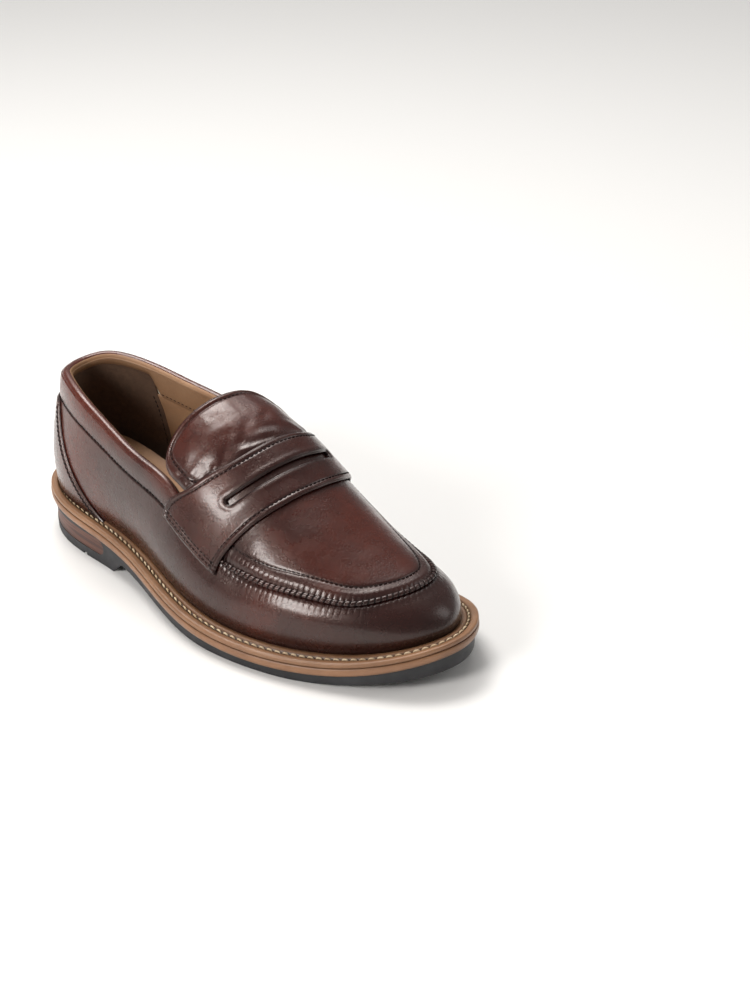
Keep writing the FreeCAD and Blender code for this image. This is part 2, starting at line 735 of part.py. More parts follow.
def wall_spot(a, v, inner, lift):
    """Point just outside the upper at a given a and share of its height."""
    lo, hi = (KNOTS[13], 1.0) if inner else (0.0, KNOTS[13])
    for _ in range(30):
        u = 0.5 * (lo + hi)
        if (wall(u, v)[0] > a) != inner:
            hi = u
        else:
            lo = u
    return skin(u, v, -lift)


def strap_line(share, lift):
    """Curve along the strap: up the outer wall, over the instep and down the inner wall."""
    def ahead(x):
        return rear_line(x) + (front_line(x) - rear_line(x)) * share
    points = [wall_spot(ahead(STRAP_OUT), v, False, lift) for v in (0.77, 0.86)]
    points += [over_instep(ahead(x), x, lift) for x in spread(-38, 33, 13)]
    points += [wall_spot(ahead(STRAP_IN), v, True, lift) for v in (0.89, 0.76)]
    total = [0.0]
    for p, q in zip(points, points[1:]):
        total.append(total[-1] + math.dist(p, q))
    return Curve([t / total[-1] for t in total], points)


def strap_grid(lift):
    """Rows across the strap; columns from the outer end to the inner end."""
    lines = [strap_line(share, lift) for share in spread(0, 1, 7)]
    return [[row_point(line(s)) for line in lines] for s in spread(0, 1, 37)]


LIFT = size("strap_lift")
strap_body = patch_solid(strap_grid(LIFT + LEATHER), strap_grid(LIFT))


SLOT_OUT, SLOT_IN = -34.0, 25.0


def slot_prism():
    """Upright cutter along the middle of the strap, with round ends."""
    half = size("slot_wide") / 2
    centre = [(x, 0.5 * (rear_line(x) + front_line(x))) for x in spread(SLOT_OUT, SLOT_IN, 13)]
    ahead, behind = [], []
    for (px, pa), (x, a), (qx, qa) in zip(centre[:1] + centre[:-1], centre, centre[1:] + centre[-1:]):
        n = math.hypot(qx - px, qa - pa)
        side_a, side_x = (qx - px) / n * half, -(qa - pa) / n * half
        ahead.append(FreeCAD.Vector(x + side_x + SIDE, FORWARD - a - side_a, -20))
        behind.append(FreeCAD.Vector(x - side_x + SIDE, FORWARD - a + side_a, -20))
    edges = []
    for line in (ahead, behind):
        curve = Part.BSplineCurve()
        curve.interpolate(line)
        edges.append(curve.toShape())
    for p, q, reach in ((ahead[0], behind[0], -half), (ahead[-1], behind[-1], half)):
        tip = (p + q) * 0.5 + FreeCAD.Vector(reach, 0, 0)
        edges.append(Part.Arc(p, tip, q).toShape())
    face = Part.Face(Part.Wire(Part.__sortEdges__(edges)))
    return face.extrude(FreeCAD.Vector(0, 0, 180))


keep("saddle_strap", strap_body.cut(slot_prism()))

TONGUE = [(157, -35.5), (166, -23.5), (171.5, -9.5), (174, 3), (175.5, 18), (171.5, 28), (163, 33),
          (151, 29), (143.5, 18), (139, 3), (135, -12), (131, -24), (133, -32.5), (143, -36.5)]


def shrink(points, distance):
    ca = sum(p[0] for p in points) / len(points)
    cx = sum(p[1] for p in points) / len(points)
    result = []
    for a, x in points:
        n = math.hypot(a - ca, x - cx)
        result.append((a - distance * (a - ca) / n, x - distance * (x - cx) / n))
    return result


def tongue_layer(top, thick, distance):
    body = slab(top - thick, top, (124, 182), (-42, 42), (21, 25))
    return body.common(prism(shrink(TONGUE, distance)))


keep("tongue", tongue_layer(1.0, LEATHER, 0.0))
keep("tongue_lining", tongue_layer(-0.65, 1.0, 1.0))


# ---------------------------------------------------------------- stitching: one thin strip per row
def wall_row(stops, height, lift):
    """Thread path on the wall; height gives v at each loop parameter."""
    path = []
    for u in stops:
        v = height(u)
        n = inward_normal(u % 1.0, v)
        p = [c - lift * k for c, k in zip(wall(u % 1.0, v), n)]
        q = wall((u + 1e-3) % 1.0, height(u + 1e-3))
        t = [i - j for i, j in zip(q, wall(u % 1.0, v))]
        side = [n[1] * t[2] - n[2] * t[1], n[2] * t[0] - n[0] * t[2], n[0] * t[1] - n[1] * t[0]]
        length = math.sqrt(sum(c * c for c in side))
        path.append((p, [c / length for c in side], [-k for k in n]))
    return path


def instep_row(points, lift):
    """Thread path over the instep surface along plan points (a, x)."""
    path = []
    for i, (a, x) in enumerate(points):
        here, up = over_instep(a, x, lift), instep_up(a, x)
        p = over_instep(*points[max(i - 1, 0)], lift)
        q = over_instep(*points[min(i + 1, len(points) - 1)], lift)
        t = [j - i for i, j in zip(p, q)]
        side = [up[1] * t[2] - up[2] * t[1], up[2] * t[0] - up[0] * t[2], up[0] * t[1] - up[1] * t[0]]
        length = math.sqrt(sum(c * c for c in side))
        path.append((here, [c / length for c in side], up))
    return path


def welt_path():
    path = []
    for u in spread(0.004, 0.996, 301):
        a, x = inset(u, (size("channel_near") + size("channel_far")) / 2)
        na, nx = outward(u)
        slope = shelf(a + 0.5) - shelf(a - 0.5)
        path.append(((a, x, shelf(a) - size("channel_deep") + 0.3), (na, nx, na * slope), (0.0, 0.0, 1.0)))
    return path


keep("welt_stitching", thread(welt_path(), 1.1, 0.5))

apron_us = spread(station(201, False), station(201, True), 61)
seam_points = [seam_point(u, 0.0) for u in apron_us]
keep("apron_stitching", thread(instep_row(seam_points, 1.4), 2.0, 0.9))
inner_points = [seam_point(u, 7.0) for u in spread(station(210, False), station(205, True), 51)]
keep("apron_inner_stitching", thread(instep_row(inner_points, 0.6), 0.8, 0.3))


def unit(p, q):
    length = math.dist(p, q)
    return [(j - i) / length for i, j in zip(p, q)]


def strap_thread(share):
    """Thread row along the strap, a share of the way across it."""
    low = strap_line(share, LIFT + LEATHER + 0.15)
    high = strap_line(share, LIFT + LEATHER + 1.15)
    aside = strap_line(share + 0.02, LIFT + LEATHER + 0.15)
    path = [(low(s), unit(low(s), aside(s)), unit(low(s), high(s))) for s in spread(0.03, 0.97, 45)]
    return thread(path, 0.8, 0.3)


keep("saddle_stitching", Part.makeCompound([strap_thread(0.08), strap_thread(0.92)]))

topline_row = wall_row(spread(station(152, True) - 1.0, station(150, False), 81), lambda u: 0.82, 0.1)
keep("topline_stitching", thread(topline_row, 0.8, 0.3))


def counter_row(inner):
    reach = station(76, inner) - (1.0 if inner else 0.0)
    path = []
    for v in spread(0.02, COUNTER_TOP - 0.04, 21):
        u = (reach * counter_reach(v) - math.copysign(0.004, reach)) % 1.0
        n = inward_normal(u, v)
        p = [c - 1.7 * k for c, k in zip(wall(u, v), n)]
        v2 = v + 0.01
        u2 = (reach * counter_reach(v2) - math.copysign(0.004, reach)) % 1.0
        t = [i - j for i, j in zip(wall(u2, v2), wall(u, v))]
        side = [n[1] * t[2] - n[2] * t[1], n[2] * t[0] - n[0] * t[2], n[0] * t[1] - n[1] * t[0]]
        length = math.sqrt(sum(c * c for c in side))
        path.append((p, [c / length for c in side], [-k for k in n]))
    return path


keep("counter_stitching", Part.makeCompound([thread(counter_row(False), 0.8, 0.3),
                                             thread(counter_row(True), 0.8, 0.3)]))

tongue_edge = Curve(range(9), [shrink(TONGUE, 2.6)[i] for i in (6, 7, 8, 9, 10, 11, 12, 13, 0)])
keep("tongue_stitching", thread(instep_row([tongue_edge(t) for t in spread(0, 7.6, 45)], 1.15), 0.8, 0.3))

seam_u = U_SEAM + 0.004
seam_row = []
for v in spread(0.03, 0.80, 15):
    n = inward_normal(seam_u, v)
    p = [c - 0.1 * k for c, k in zip(wall(seam_u, v), n)]
    na, nx = outward(seam_u)
    seam_row.append((p, (-nx, na, 0.0), [-k for k in n]))
keep("medial_seam_stitching", thread(seam_row, 0.8, 0.3))

# ---------------------------------------------------------------- check and write
doc.recompute()
faults = []
for item in doc.Objects:
    if "Invalid" in item.State or "Error" in item.State:
        faults.append("%s state %s" % (item.Name, item.State))
for name, item in pieces.items():
    item.Label = name
    shape = item.Shape
    if shape.isNull() or not shape.Solids:
        faults.append("%s has no solid" % name)
    elif not shape.isValid():
        faults.append("%s is not valid" % name)
    elif min(s.Volume for s in shape.Solids) <= 0:
        faults.append("%s has a solid without volume" % name)
for fault in faults:
    print("FAULT", fault)
if faults:
    raise RuntimeError("%d faults" % len(faults))
for name, item in pieces.items():
    item.Shape.exportStep("parts/%s.step" % name)
box = FreeCAD.BoundBox()
for item in pieces.values():
    box.add(item.Shape.BoundBox)
print(len(pieces), "nodes", box)
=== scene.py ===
import json
import math

import bpy
import numpy as np
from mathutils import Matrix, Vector


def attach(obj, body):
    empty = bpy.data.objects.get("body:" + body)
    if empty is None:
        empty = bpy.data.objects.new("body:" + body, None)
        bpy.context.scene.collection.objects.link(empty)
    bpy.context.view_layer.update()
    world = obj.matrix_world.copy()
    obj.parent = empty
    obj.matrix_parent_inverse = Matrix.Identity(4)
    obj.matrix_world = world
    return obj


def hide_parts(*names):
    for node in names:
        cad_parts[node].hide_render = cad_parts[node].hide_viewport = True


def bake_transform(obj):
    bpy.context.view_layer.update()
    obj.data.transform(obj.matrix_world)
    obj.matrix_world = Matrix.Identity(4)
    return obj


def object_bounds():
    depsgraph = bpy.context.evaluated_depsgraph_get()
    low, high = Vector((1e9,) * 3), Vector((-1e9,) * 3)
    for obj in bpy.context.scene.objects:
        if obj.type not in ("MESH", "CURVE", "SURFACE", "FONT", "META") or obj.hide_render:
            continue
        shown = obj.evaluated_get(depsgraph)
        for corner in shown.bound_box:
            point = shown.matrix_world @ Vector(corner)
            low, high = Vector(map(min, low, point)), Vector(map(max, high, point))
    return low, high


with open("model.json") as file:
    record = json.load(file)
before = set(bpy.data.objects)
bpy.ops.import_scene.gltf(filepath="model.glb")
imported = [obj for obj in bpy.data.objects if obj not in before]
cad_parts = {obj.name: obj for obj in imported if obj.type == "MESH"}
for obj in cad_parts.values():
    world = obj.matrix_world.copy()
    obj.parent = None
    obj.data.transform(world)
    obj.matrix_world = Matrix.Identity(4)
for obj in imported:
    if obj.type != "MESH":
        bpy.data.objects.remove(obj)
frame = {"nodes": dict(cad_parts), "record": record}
CAD_LOW, CAD_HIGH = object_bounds()


# ------------------------------------------------------------------ smooth curves
class Curve:
    """Cubic spline through the values; knots rise, values are numbers or tuples."""

    def __init__(self, knots, values, closed=False):
        k, v = np.array(knots, float), np.array(values, float)
        self.flat = v.ndim == 1
        v = v[:, None] if self.flat else v
        n, h = len(k), np.diff(k)
        matrix, right = np.zeros((n, n)), np.zeros_like(v)
        for i in range(1, n - 1):
            matrix[i, i - 1:i + 2] = h[i - 1], 2 * (h[i - 1] + h[i]), h[i]
            right[i] = 6 * ((v[i + 1] - v[i]) / h[i] - (v[i] - v[i - 1]) / h[i - 1])
        if closed:
            matrix[0, 0], matrix[0, 1], matrix[0, n - 2] = 2 * (h[0] + h[-1]), h[0], h[-1]
            right[0] = 6 * ((v[1] - v[0]) / h[0] - (v[0] - v[n - 2]) / h[-1])
            matrix[-1, 0], matrix[-1, -1] = 1, -1
        else:
            matrix[0, 0] = matrix[-1, -1] = 1
        self.k, self.v, self.closed = k, v, closed
        self.m = np.linalg.solve(matrix, right)

    def __call__(self, t):
        t = np.asarray(t, float)
        k, v, m = self.k, self.v, self.m
        s = k[0] + np.mod(t - k[0], k[-1] - k[0]) if self.closed else np.clip(t, k[0], k[-1])
        i = np.clip(np.searchsorted(k, s, side="right") - 1, 0, len(k) - 2)
        h = (k[i + 1] - k[i])[..., None]
        q = ((s - k[i]) / (k[i + 1] - k[i]))[..., None]
        p = 1 - q
        out = p * v[i] + q * v[i + 1] + h * h / 6 * ((p ** 3 - p) * m[i] + (q ** 3 - q) * m[i + 1])
        if not self.closed:
            slope = (v[i + 1] - v[i]) / h + h / 6 * ((1 - 3 * p * p) * m[i] + (3 * q * q - 1) * m[i + 1])
            out = out + slope * (t - s)[..., None]
        return out[..., 0] if self.flat else out


def along(rows):
    return Curve([r[0] for r in rows], [r[1] for r in rows])


def smooth(x, low, high):
    t = np.clip((np.asarray(x, float) - low) / (high - low), 0, 1)
    return t * t * (3 - 2 * t)


# ------------------------------------------------------------------ the last: a forward, x inwards, z up, in mm
shelf = along([(0, 28.4), (30, 27.2), (60, 25.6), (90, 23), (120, 19.8), (150, 16.6), (180, 14),
               (205, 13), (235, 13.6), (265, 17), (302, 27.5)])
crest = along([(112, 114), (128, 110.5), (140, 107.5), (155, 103), (168, 98.3), (178, 93.5), (190, 86.5),
               (203, 78.3), (220, 69), (233, 62), (249, 54.5), (260, 50), (275, 44.5), (285, 41)])
ridge = along([(112, 8), (150, 8), (180, 8), (203, 5), (222, 3), (280, 3)])
drop_outer = along([(112, 41), (130, 37), (142, 31.5), (150, 29), (160, 28), (182, 28), (200, 24.2),
                    (217, 22.6), (234, 20.6), (250, 20.1), (275, 21)])
drop_inner = along([(112, 60), (130, 62), (150, 64), (168, 66), (182, 62), (203, 49), (222, 45.7),
                    (238, 43), (250, 42), (262, 38), (275, 30)])


def instep(a, x):
    reach = (x - ridge(a)) / 45.0
    inner = 0.5 + 0.5 * np.tanh((x - ridge(a)) / 12.0)
    drop = drop_outer(a) * (1 - inner) + drop_inner(a) * inner
    return crest(a) - drop * (0.75 * reach ** 2 + 0.25 * reach ** 4)


def instep_up(a, x):
    sa = instep(a + 0.5, x) - instep(a - 0.5, x)
    sx = instep(a, x + 0.5) - instep(a, x - 0.5)
    return unit(np.stack([-sa, -sx, np.ones_like(sa)], -1))


def unit(v):
    return v / np.maximum(np.linalg.norm(v, axis=-1, keepdims=True), 1e-12)


def over_instep(a, x, lift=0.0):
    a, x = np.broadcast_arrays(np.asarray(a, float), np.asarray(x, float))
    lift = np.asarray(lift, float)
    return np.stack([a, x, instep(a, x)], -1) + instep_up(a, x) * (lift[..., None] if lift.ndim else lift)


LOOP = [
    ((9, 3), 6.0, (25, 3, 95.5), 0.10, 78, 1.0),
    ((12.5, -11.5), 6.0, (28.5, -10.5, 96), 0.10, 80, 1.0),
    ((28, -27), 6.0, (39, -20.5, 96), 0.14, 82, 1.0),
    ((50, -35.5), 6.5, (56, -27.5, 93), 0.20, 84, 1.0),
    ((80, -39.5), 7.5, (82, -32.5, 84.5), 0.30, 84, 1.0),
    ((110, -45.5), 8.5, (108, -36.5, 76.5), 0.34, 84, 1.0),
    ((140, -55.5), 9.0, (135, -40, 71), 0.30, 80, 1.0),
    ((170, -63), 9.5, (160, -44, 57), 0.22, 70, 0.4),
    ((200, -63.5), 9.5, (191, -47, None), 0.22, 52, 0.0),
    ((228, -58.5), 9.5, (218, -45, None), 0.24, 40, 0.0),
    ((252, -50), 9.5, (243, -37.5, None), 0.25, 30, 0.0),
    ((274, -38.5), 9.5, (260, -27, None), 0.25, 24, 0.0),
    ((290.5, -25), 9.5, (269.5, -13, None), 0.25, 20, 0.0),
    ((302, 0), 9.5, (273.5, 3, None), 0.22, 18, 0.0),
    ((291.5, 26), 9.5, (269, 17, None), 0.20, 20, 0.0),
    ((275, 39.5), 9.5, (257, 26, None), 0.20, 26, 0.0),
    ((252, 47), 9.5, (240, 32.5, None), 0.18, 36, 0.0),
    ((228, 52), 9.5, (218, 37.0, None), 0.16, 48, 0.0),
    ((200, 53), 9.5, (190, 41, None), 0.14, 58, 0.0),
    ((170, 48), 9.0, (162, 40, 66), 0.16, 72, 0.4),
    ((140, 38), 8.0, (137, 36.5, 79), 0.26, 82, 1.0),
    ((110, 30.5), 7.5, (109, 33, 86.5), 0.40, 84, 1.0),
    ((80, 30), 6.5, (84, 31, 90), 0.34, 84, 1.0),
    ((50, 33), 6.5, (58, 28, 94), 0.22, 84, 1.0),
    ((28, 30.5), 6.0, (40, 22.5, 96.5), 0.14, 82, 1.0),
    ((12.5, 17.5), 6.0, (29, 14, 96.5), 0.10, 80, 1.0),
]
SEAM_DIP, LIP, ROLL, LEATHER = 1.0, 0.12, 2.6, 1.6
corners = [row[0] for row in LOOP] + [LOOP[0][0]]
KNOTS = np.concatenate([[0], np.cumsum([math.dist(p, q) for p, q in zip(corners, corners[1:])])])
ROUND = KNOTS[-1]
KNOTS = KNOTS / ROUND
TOE = KNOTS[13]


def round_loop(values):
    return Curve(KNOTS, list(values) + [values[0]], closed=True)


outline = round_loop([row[0] for row in LOOP])
feather_inset = round_loop([row[1] for row in LOOP])
top_edge = round_loop([(a, x, float(instep(a, x)) - SEAM_DIP if z is None else z) for a, x, z in
                       [row[2] for row in LOOP]])
lean = round_loop([row[3] for row in LOOP])
arrival = round_loop([row[4] for row in LOOP])
roll_share = round_loop([row[5] for row in LOOP])

# place of the shoe coordinates in the row frame, from the CAD box
HEEL_BACK = 9.0
FORWARD = CAD_HIGH.y * 1000 + HEEL_BACK
SIDE = CAD_HIGH.x * 1000 - float(outline(np.linspace(0, 1, 2000))[:, 1].max())


def to_row(p):
    return np.stack([p[..., 1] + SIDE, FORWARD - p[..., 0], p[..., 2]], -1) / 1000


def outward(u):
    d = outline(u + 1e-4) - outline(u - 1e-4)
    return unit(np.stack([d[..., 1], -d[..., 0]], -1))


def inset(u, distance):
    return outline(u) - np.asarray(distance, float)[..., None] * outward(u)


def wall(u, v):
    u, v = np.broadcast_arrays(np.asarray(u, float), np.asarray(v, float))
    n = outward(u)
    foot = inset(u, feather_inset(u))
    foot = np.concatenate([foot, (shelf(foot[..., 0]) + 0.1)[..., None]], -1)
    head = top_edge(u)
    reach = 0.40 * np.linalg.norm(head - foot, axis=-1)[..., None]
    b = lean(u)[..., None]
    side = np.concatenate([n * b, np.ones_like(b)], -1) / np.hypot(1, b)
    angle = np.radians(arrival(u))[..., None]
    high = head + np.concatenate([n * np.cos(angle), -np.sin(angle)], -1) * reach
    low, v = foot + side * reach, v[..., None]
    w = 1 - v
    return w ** 3 * foot + 3 * w * w * v * low + 3 * w * v * v * high + v ** 3 * head


def inward_normal(u, v):
    u, v = np.broadcast_arrays(np.asarray(u, float), np.asarray(v, float))
    lo, hi = np.clip(v - 0.01, 0, 1), np.clip(v + 0.01, 0, 1)
    n = np.cross(wall(u + 5e-4, v) - wall(u - 5e-4, v), wall(u, hi) - wall(u, lo))
    out = outward(u)
    flip = np.where((n[..., :2] * out).sum(-1) > 0, -1.0, 1.0)[..., None]
    n = n * flip
    n[..., 2] *= np.minimum(1.0, v / 0.2)
    return unit(n)


def skin(u, v, depth=0.0):
    u, v, depth = np.broadcast_arrays(*[np.asarray(c, float) for c in (u, v, depth)])
    vv = np.minimum(v, 1.0)
    n = inward_normal(u, vv)
    flat = wall(u, vv) + depth[..., None] * n
    up = unit(wall(u, 1.0) - wall(u, 0.97))
    turn = (math.pi * (np.maximum(v, 1) - 1) * np.clip(roll_share(u), LIP, 1))[..., None]
    out = (ROLL - depth)[..., None]
    rolled = wall(u, 1.0) + n * (ROLL - out * np.cos(turn)) + up * out * np.sin(turn)
    return np.where((v > 1)[..., None], rolled, flat)


def station(a, inner):
    lo, hi = (TOE, 1.0) if inner else (0.0, TOE)
    for _ in range(40):
        mid = 0.5 * (lo + hi)
        if (outline(mid)[0] > a) != inner:
            hi = mid
        else:
            lo = mid
    return 0.5 * (lo + hi)


def seam_point(u, distance):
    d = top_edge(u + 1e-3)[..., :2] - top_edge(u - 1e-3)[..., :2]
    n = np.linalg.norm(d, axis=-1)
    t = top_edge(u)
    return np.stack([t[..., 0] - distance * d[..., 1] / n, t[..., 1] + distance * d[..., 0] / n], -1)


def coons(rear, ahead, left, right):
    """Plan grid inside four edge curves: rows from rear to ahead, columns from left to right."""
    r = np.linspace(0, 1, len(left))[:, None, None]
    c = np.linspace(0, 1, len(rear))[None, :, None]
    grid = (1 - r) * rear[None] + r * ahead[None] + (1 - c) * left[:, None] + c * right[:, None]
    corners = (1 - r) * (1 - c) * rear[0] + (1 - r) * c * rear[-1] + r * (1 - c) * ahead[0] + r * c * ahead[-1]
    return grid - corners


def resample(points, count):
    points = np.asarray(points, float)
    total = np.concatenate([[0], np.cumsum(np.linalg.norm(np.diff(points, axis=0), axis=1))])
    return Curve(total, points)(np.linspace(0, total[-1], count))


waves = np.random.default_rng(7)
WAVE_DIRECTIONS = unit(waves.normal(size=(24, 3)))
WAVE_PHASES = waves.uniform(0, 6.28, 24)


def ripple(p, length, first=0, count=7):
    """Soft unevenness of hand-lasted leather, about -1..1; length is the wavelength in mm."""
    total = 0
    for i in range(first, first + count):
        d = WAVE_DIRECTIONS[i % 24]
        total = total + np.sin((p @ d) * 6.283 / (length * (0.75 + 0.09 * (i % 7))) + WAVE_PHASES[i % 24])
    return total / count * 1.4


# ------------------------------------------------------------------ meshes
collection = bpy.context.scene.collection


def quads_of(n, m, closed=False, start=0):
    i, j = np.meshgrid(np.arange(n if closed else n - 1), np.arange(m - 1), indexing="ij")
    k = (i + 1) % n
    return start + np.stack([i * m + j, k * m + j, k * m + j + 1, i * m + j + 1], -1).reshape(-1, 4)


def build(name, points, quads, material, attributes=None, body="shoe", nodes=(), smooth_faces=True):
    mesh = bpy.data.meshes.new(name)
    points = to_row(points).astype(np.float32)
    mesh.vertices.add(len(points))
    mesh.vertices.foreach_set("co", points.ravel())
    mesh.loops.add(quads.size)
    mesh.loops.foreach_set("vertex_index", quads.ravel().astype(np.int32))
    mesh.polygons.add(len(quads))
    mesh.polygons.foreach_set("loop_start", np.arange(0, quads.size, 4, dtype=np.int32))
    mesh.update(calc_edges=True)
    mesh.polygons.foreach_set("use_smooth", np.full(len(quads), smooth_faces))
    for key, value in (attributes or {}).items():
        layer = mesh.attributes.new(key, "FLOAT", "POINT")
        layer.data.foreach_set("value", np.asarray(value, np.float32).ravel())
    mesh.materials.append(materials[material])
    obj = bpy.data.objects.new(name, mesh)
    collection.objects.link(obj)
    if body:
        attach(obj, body)
    if nodes:
        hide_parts(*nodes)
    return obj


def two_sided(front, back, quads, rim=3, bulge=0.35):
    """Closed skin of a sheet with rounded edges. front and back are matching points."""
    a, b, c = front[quads[:, 0]], front[quads[:, 1]], front[quads[:, 3]]
    facing = (np.cross(b - a, c - a) * (front - back)[quads[:, 0]]).sum(-1)
    quads = quads[:, ::-1] if np.median(facing) < 0 else quads
    count = len(front)
    edges = np.concatenate([quads[:, [0, 1]], quads[:, [1, 2]], quads[:, [2, 3]], quads[:, [3, 0]]])
    key = edges[:, 0].astype(np.int64) * count + edges[:, 1]
    twin = edges[:, 1].astype(np.int64) * count + edges[:, 0]
    border = edges[~np.isin(key, twin)]
    ids = np.unique(border)
    place = np.full(count, -1)
    place[ids] = np.arange(len(ids))
    out = np.zeros((count, 3))
    tangent = front[border[:, 1]] - front[border[:, 0]]
    push = unit(np.cross(tangent, front[border[:, 0]] - back[border[:, 0]]))
    np.add.at(out, border[:, 0], push)
    np.add.at(out, border[:, 1], push)
    out = unit(out[ids])
    thick = np.linalg.norm(front[ids] - back[ids], axis=1)[:, None]
    rings, layers = [ids], []
    for k in range(1, rim + 1):
        t = k / (rim + 1)
        w = (1 - math.cos(math.pi * t)) / 2
        layers.append(front[ids] * (1 - w) + back[ids] * w + out * thick * bulge * math.sin(math.pi * t))
        rings.append(2 * count + (k - 1) * len(ids) + np.arange(len(ids)))
    rings.append(ids + count)
    faces = [quads, quads[:, ::-1] + count]
    i, j = place[border[:, 0]], place[border[:, 1]]
    for near, far in zip(rings, rings[1:]):
        faces.append(np.stack([near[j], near[i], far[i], far[j]], -1))
    points = np.concatenate([front, back] + layers)
    return points, np.concatenate(faces), ids, count, rim


def sheet(name, front, back, quads, material, marks=None, rim=3, bulge=0.35, **more):
    """Two-sided piece; marks are per-front-point values, the rim takes the edge's own."""
    points, faces, ids, count, rim = two_sided(front, back, quads, rim, bulge)
    attributes = {}
    for key in ("burnish_and_shade", "warm", "worn"):
        known = marks is not None and key in marks
        value = np.asarray(marks[key], float).ravel() if known else np.zeros(count)
        edge = value[ids] if key != "worn" else np.ones(len(ids))
        attributes[key] = np.concatenate([value, value] + [edge] * rim)
    return build(name, points, faces, material, attributes, **more)


def grid_sheet(name, front, back, material, marks=None, closed=False, **more):
    n, m = front.shape[:2]
    quads = quads_of(n, m, closed)
    return sheet(name, front.reshape(-1, 3), back.reshape(-1, 3), quads, material, marks, **more)


def tubes(name, paths, ups, radius, material, sides=7, taper=0.35, squash=1.0, attributes=None, **more):
    """Many short threads in one mesh. paths (count, steps, 3), ups the same shape."""
    count, steps = paths.shape[:2]
    tangent = unit(np.gradient(paths, axis=1))
    side = unit(np.cross(tangent, ups))
    up = unit(np.cross(side, tangent))
    shape = np.linspace(-1, 1, steps)
    r = radius * (1 - (1 - taper) * np.abs(shape) ** 4)
    angle = np.linspace(0, 2 * math.pi, sides, endpoint=False)
    ring = (side[:, :, None] * np.cos(angle)[:, None] + up[:, :, None] * np.sin(angle)[:, None] * squash)
    points = paths[:, :, None] + ring * r[None, :, None, None]
    points = points.reshape(count, steps * sides, 3)
    tips = paths[:, [0, -1]]
    points = np.concatenate([points, tips], 1)
    i, j = np.meshgrid(np.arange(steps - 1), np.arange(sides), indexing="ij")
    k = (j + 1) % sides
    body = np.stack([i * sides + j, i * sides + k, (i + 1) * sides + k, (i + 1) * sides + j], -1)
    body = body.reshape(-1, 4)
    per = steps * sides + 2
    j = np.arange(0, sides - 1, 2)
    first = np.stack([np.full_like(j, per - 2), (j + 2) % sides, j + 1, j], -1)
    last = np.stack([np.full_like(j, per - 1), (steps - 1) * sides + j, (steps - 1) * sides + j + 1,
                     (steps - 1) * sides + (j + 2) % sides], -1)
    base = np.concatenate([body, first, last])
    quads = (base[None] + np.arange(count)[:, None, None] * per).reshape(-1, 4)
    tone = np.repeat(np.random.default_rng(count).uniform(0, 1, count), per)
    return build(name, points.reshape(-1, 3), quads, material, {"tone": tone}, **more)


def stitch_row(name, path, ups, material, pitch=3.0, length=2.3, radius=0.36, rise=0.25, sink=0.3, slant=0.0,
               **more):
    """Row of separate stitches along a dense path of points with surface normals."""
    step = np.linalg.norm(np.diff(path, axis=0), axis=1)
    total = np.concatenate([[0], np.cumsum(step)])
    count = max(int(total[-1] / pitch), 1)
    centre = (np.arange(count) + 0.5) * total[-1] / count
    shape = np.linspace(-1, 1, 7)
    stops = centre[:, None] + shape[None] * length / 2
    points = np.stack([np.interp(stops, total, path[:, k]) for k in range(3)], -1)
    normal = unit(np.stack([np.interp(stops, total, ups[:, k]) for k in range(3)], -1))
    tangent = unit(np.gradient(points, axis=1))
    side = np.cross(tangent, normal)
    height = rise - (rise + sink) * np.abs(shape) ** 3.5
    points = points + normal * height[None, :, None] + side * (slant * shape)[None, :, None]
    return tubes(name, points, normal, radius, material, **more)


# ------------------------------------------------------------------ materials
materials = {}


